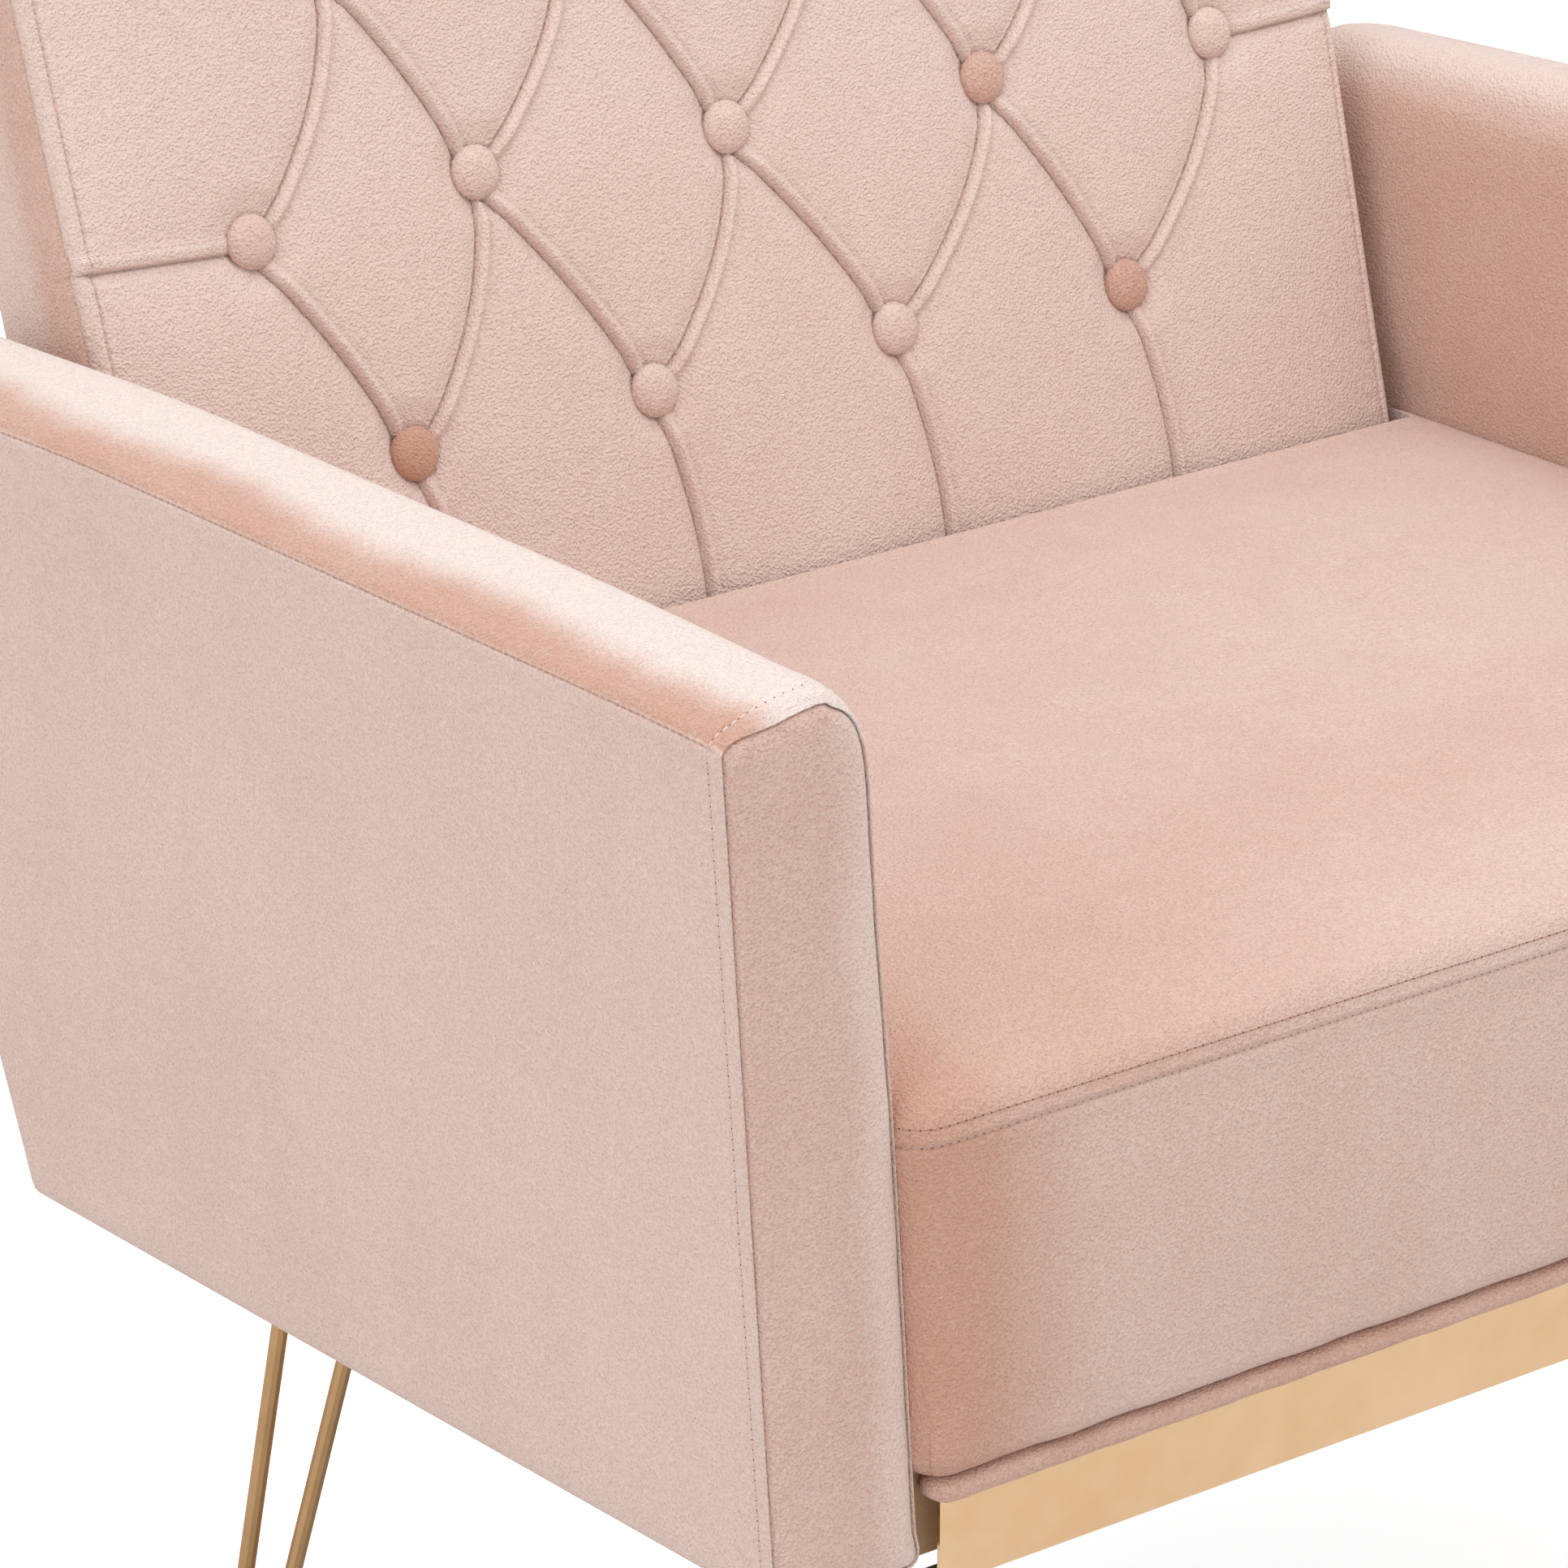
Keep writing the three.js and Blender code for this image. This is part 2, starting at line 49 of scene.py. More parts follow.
BODY = "root"

# ------------------------------------------------------------------ camera
CAMERA_AT = (-1.8384, -2.1308, 1.4176)
LOOK_AT = (-0.1049, 0.043, 0.3819)
LENS = 173.8
camera = bpy.data.objects.new("camera", bpy.data.cameras.new("camera"))
bpy.context.scene.collection.objects.link(camera)
camera.location = CAMERA_AT
camera.rotation_euler = (Vector(LOOK_AT) - Vector(CAMERA_AT)).to_track_quat("-Z", "Y").to_euler()
camera.data.lens = LENS
camera.data.sensor_width = 36.0
camera.data.clip_start, camera.data.clip_end = 0.1, 60.0
bpy.context.scene.camera = camera


def node_box(node):
    """A CAD node's lowest and highest corners, in millimetres."""
    lo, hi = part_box(node)
    return np.array(lo) / MM, np.array(hi) / MM


# --------------------------------------------------------------- materials
def new_material(name):
    mat = bpy.data.materials.new(name)
    mat.use_nodes = True
    tree = mat.node_tree
    shader = tree.nodes["Principled BSDF"]
    coord = tree.nodes.new("ShaderNodeTexCoord")
    return mat, tree, shader, coord.outputs["Object"]


def link(tree, a, b):
    tree.links.new(a, b)


def noise(tree, coord, scale, detail=2.0, rough=0.5, stretch=None):
    if stretch is not None:
        mapping = tree.nodes.new("ShaderNodeMapping")
        mapping.inputs["Scale"].default_value = stretch
        link(tree, coord, mapping.inputs["Vector"])
        coord = mapping.outputs["Vector"]
    node = tree.nodes.new("ShaderNodeTexNoise")
    node.inputs["Scale"].default_value = scale
    node.inputs["Detail"].default_value = detail
    node.inputs["Roughness"].default_value = rough
    link(tree, coord, node.inputs["Vector"])
    return node.outputs["Fac"]


def remap(tree, value, lo, hi, to_lo=0.0, to_hi=1.0):
    node = tree.nodes.new("ShaderNodeMapRange")
    for key, v in zip(("From Min", "From Max", "To Min", "To Max"), (lo, hi, to_lo, to_hi)):
        node.inputs[key].default_value = v
    link(tree, value, node.inputs["Value"])
    return node.outputs["Result"]


def math_node(tree, op, a, b):
    node = tree.nodes.new("ShaderNodeMath")
    node.operation = op
    for i, v in enumerate((a, b)):
        if isinstance(v, (int, float)):
            node.inputs[i].default_value = v
        else:
            link(tree, v, node.inputs[i])
    return node.outputs[0]


def mix_colour(tree, fac, a, b):
    node = tree.nodes.new("ShaderNodeMix")
    node.data_type = "RGBA"
    for key, v in (("A", a), ("B", b)):
        socket = [s for s in node.inputs if s.name == key and s.type == "RGBA"][0]
        if isinstance(v, tuple):
            socket.default_value = (*v, 1.0)
        else:
            link(tree, v, socket)
    factor = node.inputs["Factor"]
    if isinstance(fac, (int, float)):
        factor.default_value = fac
    else:
        link(tree, fac, factor)
    return [s for s in node.outputs if s.type == "RGBA"][0]


def bump(tree, heights, shader):
    """Chains (height, distance in metres, strength) bumps into the shader's normal."""
    normal = None
    for height, distance, strength in heights:
        node = tree.nodes.new("ShaderNodeBump")
        node.inputs["Distance"].default_value = distance
        node.inputs["Strength"].default_value = strength
        link(tree, height, node.inputs["Height"])
        if normal is not None:
            link(tree, normal, node.inputs["Normal"])
        normal = node.outputs["Normal"]
    link(tree, normal, shader.inputs["Normal"])


PALE = (0.775, 0.605, 0.540)
ROSE = (0.59, 0.330, 0.240)
# pale colour of the painted sheen highlight, mixed in over the arm tops
PAINTED_SHEEN = (0.88, 0.80, 0.75)


def velvet_material(name, sheen, pale=PALE, rose=ROSE, patch=1.0):
    """Short-pile velvet, pebbled and patchy, toned by a per-point attribute: rosier where it is above 0, for
    the pile direction and for painted shade, and mixed towards a pale painted sheen highlight where it is
    below 0.
    """
    mat, tree, shader, coord = new_material(name)
    pile_and_painted_light = tree.nodes.new("ShaderNodeAttribute")
    pile_and_painted_light.attribute_name = "pile_and_painted_light"
    patches = remap(tree, noise(tree, coord, 9.0, 3.0, 0.55), 0.35, 0.68, -0.06 * patch, 0.09 * patch)
    brushed = remap(tree, noise(tree, coord, 26.0, 4.0, 0.6, (1.0, 1.0, 0.35)), 0.35, 0.7, -0.05, 0.05)
    pebble = noise(tree, coord, 850.0, 1.5, 0.5)
    grain = remap(tree, pebble, 0.3, 0.7, 0.20, -0.20)
    lean = pile_and_painted_light.outputs["Fac"]
    for part in (patches, brushed, grain):
        lean = math_node(tree, "ADD", lean, part)
    # a negative attribute mixes in the painted sheen highlight colour
    painted_highlight = math_node(tree, "MULTIPLY", pile_and_painted_light.outputs["Fac"], -1.0)
    tone = mix_colour(tree, painted_highlight, mix_colour(tree, lean, pale, rose), PAINTED_SHEEN)
    link(tree, tone, shader.inputs["Base Color"])
    rough = remap(tree, noise(tree, coord, 60.0, 3.0), 0.3, 0.7, 0.78, 0.92)
    link(tree, rough, shader.inputs["Roughness"])
    shader.inputs["Specular IOR Level"].default_value = 0.2
    shader.inputs["Sheen Weight"].default_value = sheen
    shader.inputs["Sheen Roughness"].default_value = 0.35
    shader.inputs["Sheen Tint"].default_value = (1.0, 0.92, 0.88, 1.0)
    soft = noise(tree, coord, 70.0, 3.0, 0.5)
    bump(tree, [(soft, 0.0008, 0.25), (pebble, 0.0017, 0.95)], shader)
    return mat


def plain_material(name, colours, scale, rough, metallic=0.0, bumps=(), stretch=None, **sockets):
    """Two-tone procedural material: colours mixed by noise, roughness range, and noise bumps."""
    mat, tree, shader, coord = new_material(name)
    fac = remap(tree, noise(tree, coord, scale, 4.0, 0.6, stretch), 0.35, 0.65)
    link(tree, mix_colour(tree, fac, *colours), shader.inputs["Base Color"])
    shine = remap(tree, noise(tree, coord, scale * 2.3, 3.0), 0.3, 0.7, *rough)
    link(tree, shine, shader.inputs["Roughness"])
    shader.inputs["Metallic"].default_value = metallic
    for key, v in sockets.items():
        shader.inputs[key.replace("_", " ")].default_value = v
    if bumps:
        bump(tree, [(noise(tree, coord, s, 3.0, 0.5, stretch), d, k) for s, d, k in bumps], shader)
    return mat


def weave_material(name, dark, light, pitch, depth):
    """Plain weave of crossing threads, pitch in metres."""
    mat, tree, shader, coord = new_material(name)
    waves = []
    for axis in ("X", "Y"):
        wave = tree.nodes.new("ShaderNodeTexWave")
        wave.bands_direction = axis
        wave.inputs["Scale"].default_value = 0.314 / pitch
        wave.inputs["Distortion"].default_value = 0.6
        link(tree, coord, wave.inputs["Vector"])
        waves.append(wave.outputs["Fac"])
    cloth = math_node(tree, "MAXIMUM", *waves)
    cloth = math_node(tree, "ADD", cloth, remap(tree, noise(tree, coord, 40.0), 0.3, 0.7, -0.2, 0.2))
    link(tree, mix_colour(tree, cloth, dark, light), shader.inputs["Base Color"])
    shader.inputs["Roughness"].default_value = 0.95
    bump(tree, [(cloth, depth, 0.6)], shader)
    return mat


def timber_material():
    mat, tree, shader, coord = new_material("timber")
    rings = noise(tree, coord, 30.0, 4.0, 0.6, (0.15, 1.0, 1.0))
    fibre = noise(tree, coord, 500.0, 2.0, 0.5, (0.06, 1.0, 1.0))
    fac = remap(tree, math_node(tree, "ADD", rings, math_node(tree, "MULTIPLY", fibre, 0.3)), 0.4, 0.9)
    link(tree, mix_colour(tree, fac, (0.52, 0.34, 0.18), (0.70, 0.51, 0.31)), shader.inputs["Base Color"])
    shader.inputs["Roughness"].default_value = 0.72
    bump(tree, [(fibre, 0.0004, 0.4)], shader)
    return mat


def thread_material(name, light, dark):
    return plain_material(name, (light, dark), 300.0, (0.45, 0.6), bumps=((2500.0, 0.0001, 0.5),))


VELVET = velvet_material("velvet", 0.25)
ARM_VELVET = velvet_material("arm_velvet", 0.5, patch=0.6)
SEAT_VELVET = velvet_material("seat_velvet", 0.12, patch=0.5)
THREAD = thread_material("thread", (0.72, 0.50, 0.46), (0.62, 0.40, 0.36))
SEAM_THREAD = thread_material("seam_thread", (0.50, 0.26, 0.17), (0.40, 0.20, 0.13))
PALE_THREAD = thread_material("pale_thread", (0.76, 0.61, 0.58), (0.70, 0.54, 0.51))
TACK_THREAD = thread_material("tack_thread", (0.86, 0.73, 0.70), (0.80, 0.64, 0.61))
# dark material for small dots at the stitch ends: painted shade of the needle holes
PAINTED_HOLE_SHADE = plain_material("painted_hole_shade", ((0.16, 0.07, 0.05), (0.11, 0.05, 0.04)), 300.0, (0.8, 0.9))
GOLD = plain_material("polished_gold", ((0.93, 0.64, 0.39), (0.86, 0.57, 0.32)), 24.0, (0.10, 0.24), 1.0,
                      bumps=((22.0, 0.0006, 0.10), (160.0, 0.0001, 0.08)))
SATIN = plain_material("satin_gold", ((0.62, 0.38, 0.19), (0.56, 0.34, 0.165)), 60.0, (0.34, 0.46), 1.0,
                       bumps=((900.0, 0.0002, 0.12),))
RUBBER = plain_material("rubber", ((0.025, 0.025, 0.027), (0.05, 0.05, 0.052)), 200.0, (0.6, 0.8),
                        bumps=((1200.0, 0.0003, 0.3),))
STEEL = plain_material("spring_steel", ((0.32, 0.32, 0.33), (0.42, 0.41, 0.40)), 90.0, (0.3, 0.5), 0.9,
                       bumps=((700.0, 0.0002, 0.2),))
FOAM = plain_material("foam", ((0.86, 0.80, 0.62), (0.80, 0.73, 0.54)), 250.0, (0.9, 1.0),
                      bumps=((900.0, 0.001, 0.8),))
TIMBER = timber_material()
BURLAP = weave_material("burlap", (0.20, 0.13, 0.07), (0.47, 0.35, 0.20), 0.0026, 0.0006)
DUST_CLOTH = weave_material("dust_cloth", (0.006, 0.006, 0.007), (0.03, 0.03, 0.032), 0.0014, 0.0002)
SLOT_LOOKS = {"velvet": VELVET, "foam": FOAM, "timber": TIMBER, "burlap": BURLAP, "spring_steel": STEEL,
              "polished_trim": GOLD, "satin_gold": SATIN, "rubber": RUBBER, "dust_cloth": DUST_CLOTH}

# ----------------------------------------------------------- mesh helpers


def make(name, verts, faces, material, pile_and_painted_light=None, smooth=True):
    """A piece of the root body from millimetre points, with its faces turned outwards."""
    mesh = bpy.data.meshes.new(name)
    mesh.from_pydata((np.asarray(verts, float) * MM).tolist(), [], [list(map(int, f)) for f in faces])
    mesh.validate()
    shell = bmesh.new()
    shell.from_mesh(mesh)
    bmesh.ops.recalc_face_normals(shell, faces=shell.faces)
    shell.to_mesh(mesh)
    shell.free()
    mesh.update()
    mesh.polygons.foreach_set("use_smooth", [smooth] * len(mesh.polygons))
    # per-point velvet tone: the pile direction, painted shade and the painted sheen highlight
    if pile_and_painted_light is not None:
        layer = mesh.attributes.new("pile_and_painted_light", "FLOAT", "POINT")
        layer.data.foreach_set("value", np.asarray(pile_and_painted_light, np.float32))
    mesh.materials.append(material)
    obj = bpy.data.objects.new(name, mesh)
    bpy.context.scene.collection.objects.link(obj)
    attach(obj, BODY)
    return obj


def quads(index, wrap=False):
    """Faces over a grid of vertex numbers, rows by columns."""
    if wrap:
        index = np.concatenate([index, index[:, :1]], 1)
    f = np.stack([index[:-1, :-1], index[:-1, 1:], index[1:, 1:], index[1:, :-1]], -1)
    return f.reshape(-1, 4).tolist()


def clean(faces):
    """Faces without their repeated corners; those left with under three are dropped."""
    out = []
    for f in faces:
        g = [v for i, v in enumerate(f) if v != f[i - 1]]
        if len(set(g)) >= 3:
            out.append(g)
    return out


def unit(v):
    return v / np.maximum(np.linalg.norm(v, axis=-1, keepdims=True), 1e-9)


def cubic(table, at, wrap=False):
    """Smooth samples of a table's rows at fractional row numbers."""
    n = len(table)
    at = np.asarray(at, float)
    low = np.floor(at).astype(int)
    if not wrap:
        low = np.clip(low, 0, n - 2)
    t = (at - low).reshape((-1,) + (1,) * (table.ndim - 1))

    def row(k):
        return table[(low + k) % n] if wrap else table[np.clip(low + k, 0, n - 1)]

    a, b, c, d = row(-1), row(0), row(1), row(2)
    square, cube = 2 * a - 5 * b + 4 * c - d, 3 * b - a - 3 * c + d
    return 0.5 * (2 * b + (c - a) * t + square * t ** 2 + cube * t ** 3)


def smoothstep(x, lo, hi):
    t = np.clip((np.asarray(x, float) - lo) / (hi - lo), 0, 1)
    return t * t * (3 - 2 * t)


def polyline_distance(points, line, closed=False):
    """Distance of 2-D points to a polyline, the side of it they are on, and the arc length there."""
    line = np.asarray(line, float)
    a = line if closed else line[:-1]
    b = np.roll(line, -1, 0) if closed else line[1:]
    step = np.linalg.norm(b - a, axis=1)
    start = np.concatenate([[0], np.cumsum(step)[:-1]])
    best = np.full(len(points), 1e9)
    side = np.zeros(len(points))
    along = np.zeros(len(points))
    for i in range(len(a)):
        d = b[i] - a[i]
        if step[i] < 1e-9:
            continue
        t = np.clip(((points - a[i]) @ d) / step[i] ** 2, 0, 1)
        gap = points - (a[i] + t[:, None] * d)
        r = np.hypot(gap[:, 0], gap[:, 1])
        near = r < best
        best[near] = r[near]
        side[near] = (d[0] * gap[:, 1] - d[1] * gap[:, 0])[near]
        along[near] = (start[i] + t * step[i])[near]
    return best, np.sign(side), along


def resample(line, spacing=None, count=None):
    """Points evenly spaced along a polyline."""
    line = np.asarray(line, float)
    step = np.linalg.norm(np.diff(line, axis=0), axis=1)
    run = np.concatenate([[0], np.cumsum(step)])
    if count is None:
        count = max(2, int(round(run[-1] / spacing)) + 1)
    s = np.linspace(0, run[-1], count)
    return np.stack([np.interp(s, run, line[:, k]) for k in range(line.shape[1])], 1)


def spline(points, spacing=1.0):
    """Smooth curve through control points, evenly resampled."""
    p = np.asarray(points, float)
    dense = cubic(p, np.linspace(0, len(p) - 1, 24 * len(p)))
    return resample(dense, spacing)


def inflate(grid, pinned, pressure=4.0, cap=8.0, frames=20, wrap=False, spread=15.0):
    """Blows a panel out between pinned seams by cloth simulation, and returns how each point moved."""
    rows, cols = grid.shape[:2]
    mesh = bpy.data.meshes.new("panel")
    index = np.arange(rows * cols).reshape(rows, cols)
    mesh.from_pydata((grid.reshape(-1, 3) * MM).tolist(), [], quads(index, wrap))
    mesh.update()
    panel = bpy.data.objects.new("panel", mesh)
    bpy.context.scene.collection.objects.link(panel)
    group = panel.vertex_groups.new(name="pinned")
    for i, w in enumerate(pinned.reshape(-1)):
        if w > 0:
            group.add([i], float(min(w, 1.0)), "REPLACE")
    cloth = panel.modifiers.new("cloth", "CLOTH")
    cloth.settings.quality = 5
    cloth.settings.use_pressure = True
    cloth.settings.uniform_pressure_force = pressure
    cloth.settings.tension_stiffness = spread
    cloth.settings.compression_stiffness = spread
    cloth.settings.vertex_group_mass = "pinned"
    cloth.settings.effector_weights.gravity = 0.0
    cloth.collision_settings.use_collision = False
    cloth.point_cache.frame_start, cloth.point_cache.frame_end = 1, frames
    for f in range(1, frames + 1):
        bpy.context.scene.frame_set(f)
    evaluated = panel.evaluated_get(bpy.context.evaluated_depsgraph_get())
    moved = np.empty(rows * cols * 3)
    evaluated.to_mesh().vertices.foreach_get("co", moved)
    evaluated.to_mesh_clear()
    bpy.data.objects.remove(panel)
    bpy.data.meshes.remove(mesh)
    bpy.context.scene.frame_set(1)
    move = moved.reshape(rows, cols, 3) / MM - grid
    size = np.linalg.norm(move, axis=2, keepdims=True)
    return move / np.maximum(size, 1e-6) * cap * np.tanh(size / cap)


def stitches(name, runs, material, pitch=3.4, length=2.3, radius=0.38, sink=0.1, start=0.5):
    """Sewing thread: one small rounded loop of thread per stitch along each (points, normals) run."""
    verts, faces = [], []
    sides = 5
    for points, normals in runs:
        points, normals = np.asarray(points, float), np.asarray(normals, float)
        step = np.linalg.norm(np.diff(points, axis=0), axis=1)
        run = np.concatenate([[0], np.cumsum(step)])
        for s in np.arange(pitch * start, run[-1] - pitch * start, pitch):
            ends = [np.array([np.interp(q, run, points[:, k]) for k in range(3)])
                    for q in (s - length / 2, s + length / 2)]
            n = unit(np.array([np.interp(s, run, normals[:, k]) for k in range(3)]))
            along = unit(ends[1] - ends[0])
            across = unit(np.cross(n, along))
            base = len(verts)
            for t, r, up in ((0.0, 0.45, -0.6), (0.22, 1.0, 0.25), (0.78, 1.0, 0.25), (1.0, 0.45, -0.6)):
                c = ends[0] + (ends[1] - ends[0]) * t + n * (up - sink) * radius
                for q in range(sides):
                    w = 2 * math.pi * q / sides
                    verts.append(c + radius * r * (across * math.cos(w) + n * math.sin(w)))
            ring = np.arange(base, base + 4 * sides).reshape(4, sides)
            faces += quads(ring, True)
            faces += [ring[0][::-1].tolist(), ring[3].tolist()]
    return make(name, verts, faces, material)


def ripple(s, seed, wavelength, octaves=3):
    """Smooth irregular wave of a length coordinate, about -1 to 1."""
    rng = np.random.default_rng(seed)
    out = 0
    for k in range(octaves):
        w = wavelength * rng.uniform(0.7, 1.4)
        out = out + np.sin(2 * math.pi * np.asarray(s) / w + rng.uniform(0, 6.28)) / octaves
    return out


# ------------------------------------------------------------------- arms
LEAN = math.tan(math.radians(4.0))
RAKE = math.radians(16.5)
arm_lo, arm_hi = node_box("left_arm_cover")
ARM_BOTTOM, ARM_TOP = arm_lo[2], arm_hi[2]
ARM_SEAM = ARM_TOP - 13.0
ARM_OUT = arm_lo[0]
ARM_FRONT = arm_lo[1] + 0.7
ARM_REAR = 152.0
ARM_INNER = 66.0
# section over the top as (inward, above the seam), first up to the apex and then down inside
ARM_CROWN = ((0.0, 0.0), (3.5, 3.2), (9.0, 5.8), (20.0, 9.5), (31.0, 12.0), (42.0, 13.4))
ARM_ROLL = ((42.0, 13.4), (50.0, 12.6), (57.0, 8.0), (62.0, 0.0), (65.0, -11.0), (66.0, -25.0))
ROLL_RUN = 80.0
REAR_CORNER = 22.0
TOE_IN = 0.012
REAR_DROP = 6.0
FRONT_THINNER = 4.3
FRONT_DIP = 1.8
PAD_DEPTH = 7.0
PAD_INSET = 1.15
BAND = 6.2


def arm_outline():
    """Closed section in (inward, up): outer bottom edge, up the side, over the top, down inside, and back."""
    zb, zs, zt = ARM_BOTTOM, ARM_SEAM, ARM_TOP
    side = [(5.0, zb), (1.6, zb + 1.4), (0.0, zb + 5.5)]
    side += [(0.0, z) for z in np.arange(zb + 20, zs - 10, 8.0)] + [(0.0, zs - 6), (0.0, zs)]
    crown = [(w, zs + up) for w, up in ARM_CROWN]
    roll = [(w, zs + up) for w, up in ARM_ROLL]
    inner = [(ARM_INNER, z) for z in np.arange(zt - 50, zb + 18, -8.0)]
    inner += [(ARM_INNER, zb + 5.5), (64.4, zb + 1.4), (61.0, zb)]
    parts = [spline(side, 0.5), spline(crown, 0.5)[1:], spline(roll + inner, 0.5)[1:]]
    line = np.concatenate(parts)
    seam = np.linalg.norm(np.diff(parts[0], axis=0), axis=1).sum()
    apex = seam + np.linalg.norm(np.diff(spline(crown, 0.5), axis=0), axis=1).sum()
    return line, seam, apex


ARM_LINE, SEAM_AT, APEX_AT = arm_outline()
ARM_RUN = np.concatenate([[0], np.cumsum(np.linalg.norm(np.diff(ARM_LINE, axis=0), axis=1))])
ARM_END = ARM_RUN[-1]


def arm_section(s):
    """Section points and outward normals at arc lengths s; past the end runs along the bottom."""
    p = np.stack([np.interp(s, ARM_RUN, ARM_LINE[:, k]) for k in (0, 1)], 1)
    h = 1.2
    q = np.stack([np.interp(np.minimum(s + h, ARM_END), ARM_RUN, ARM_LINE[:, k])
                  - np.interp(np.maximum(s - h, 0), ARM_RUN, ARM_LINE[:, k]) for k in (0, 1)], 1)
    n = unit(np.stack([-q[:, 1], q[:, 0]], 1))
    return p, n


def coarse_samples():
    """Arc lengths round the section for the cloth simulation."""
    return np.concatenate([np.linspace(0, SEAM_AT, 40), np.linspace(SEAM_AT, APEX_AT, 6)[1:],
                           np.linspace(APEX_AT, ARM_END, 45)[1:]])


def fine_samples():
    """Arc lengths up the outer side to the apex and down from it, in equal counts, and the apex's number."""
    near = np.array([0.45, 0.9, 1.4, 2.0, 3.0, 4.2, 5.6, 7.2, 9.0, 11.0, 13.5, 16.5])
    up = np.concatenate([[0, 2.0, 4.0, 6.0, 9.0], np.linspace(14, SEAM_AT - 19, 44), SEAM_AT - near[::-1],
                         [SEAM_AT], SEAM_AT + near, np.linspace(SEAM_AT + 18.5, APEX_AT, 10)])
    down = np.concatenate([np.linspace(APEX_AT, APEX_AT + ROLL_RUN, 42),
                           np.linspace(APEX_AT + ROLL_RUN, ARM_END - 9, 39)[1:],
                           ARM_END - np.array([6.0, 4.0, 2.0, 0.0])])
    return np.concatenate([up, down[1:]]), len(up) - 1


def arm_place(w, z, t):
    """Left arm point from (inward, up) and t, 0 at the front and 1 at the rear."""
    corner = np.clip(t, 0, 1)
    rear = ARM_REAR + (z - ARM_BOTTOM) * math.tan(RAKE)
    y = ARM_FRONT + corner * (rear - ARM_FRONT)
    back = np.clip(y - (rear - REAR_CORNER), 0, REAR_CORNER)
    lift = REAR_CORNER - np.sqrt(np.maximum(REAR_CORNER ** 2 - back ** 2, 0))
    share = np.clip((z - ARM_BOTTOM) / (ARM_SEAM - ARM_BOTTOM), 0, 1)
    thin = smoothstep(w, 28.0, 60.0) * (FRONT_THINNER * (1 - smoothstep(y, ARM_FRONT + 10, ARM_FRONT + 160)))
    thin = thin * (1 - 0.5 * smoothstep(ARM_SEAM - z, 50.0, 170.0))
    x = ARM_OUT + (ARM_SEAM - z) * LEAN + w - thin + TOE_IN * (y - ARM_FRONT) * smoothstep(z, 380.0, 470.0)
    z = z - FRONT_DIP * np.exp(-(y - ARM_FRONT) / 30.0) * smoothstep(share, 0.8, 1.0)
    z = z - lift * smoothstep(share, 0.6, 1.0)
    z = z - REAR_DROP * smoothstep(y, 60.0, 250.0) * smoothstep(share, 0.5, 1.0)
    return np.stack([x, y, z], -1)


def cap_faces(ring, apex, cols, first):
    """Rows across a closed ring whose first apex + 1 points face its last ones, as (left, right, column) of
    each new vertex, and the faces. Row 0's inner points are the ring's own bottom points."""
    left = ring[:apex + 1]
    right = ring[apex:2 * apex + 1][::-1]
    bottom = ring[2 * apex + 1:][::-1]
    rows = [np.concatenate([[left[0]], bottom, [right[0]]])]
    pairs = []
    for i in range(1, apex):
        inner = np.arange(first + len(pairs), first + len(pairs) + cols - 1)
        pairs += [(left[i], right[i], j) for j in range(1, cols)]
        rows.append(np.concatenate([[left[i]], inner, [right[i]]]))
    index = np.array(rows)
    faces = quads(index)
    faces += [[index[-1][j], index[-1][j + 1], left[apex]] for j in range(cols)]
    return pairs, faces


# pins of the cloth: held tight below the seat's height inside, and nearly so on the outer side
BESIDE_SEAT = 436
OUTER_HOLD = 0.86
# rows of the body behind its front edge, close round the stitched band, and ahead of its rear edge
FRONT_STEPS = np.array([0, 0.6, 1.2, 1.9, 2.7, 3.6, 4.6, 5.3, 5.7, 6.0, 6.3, 6.7, 7.3, 8.3, 9.7, 11.5, 14,
                        17.5, 22, 27, 33])
REAR_STEPS = np.array([33, 27, 22, 18, 15, 12, 9.5, 7, 5, 3.5, 2, 1, 0])
CAP_COLS = 18
CAP_AT = 0.5 - 0.5 * np.cos(np.pi * np.arange(CAP_COLS + 1) / CAP_COLS)


def capped(rings, apex, shapes):
    """Tube of rings with both ends closed; shapes give how far back each end's points lie."""
    verts = np.concatenate(rings)
    index = np.arange(len(verts)).reshape(len(rings), -1)
    faces = quads(index, True)
    for ring, shape in zip((index[0], index[-1]), shapes):
        pairs, cap = cap_faces(ring, apex, CAP_COLS, len(verts))
        new = np.array([verts[a] * (1 - CAP_AT[j]) + verts[b] * CAP_AT[j] for a, b, j in pairs])
        far, _, along = polyline_distance(new[:, [0, 2]], verts[ring][:, [0, 2]], True)
        new[:, 1] += shape(new, far, along)
        verts = np.concatenate([verts, new])
        faces += cap
    return verts, faces


def flat_end(points, far, along):
    return 0.0


def rear_end(points, far, along):
    return 2.4 * (1 - np.exp(-far / 7.0))


def pad_end(points, far, along):
    """The front pad's crown, with vertical puckers along its top edge and soft waves down its sides."""
    rise = 2.2 * (1 - np.exp(-far / 1.6)) + 2.6 * (1 - np.exp(-far / 12.0))
    up = smoothstep(points[:, 2], ARM_SEAM - 26, ARM_SEAM)
    rise += up * 0.7 * ripple(along, 41, 8.5) * np.exp(-((far - 3.5) / 4.5) ** 2)
    rise += 0.3 * ripple(points[:, 2], 42, 34.0) * np.exp(-far / 7.0) * (1 - up)
    return -rise


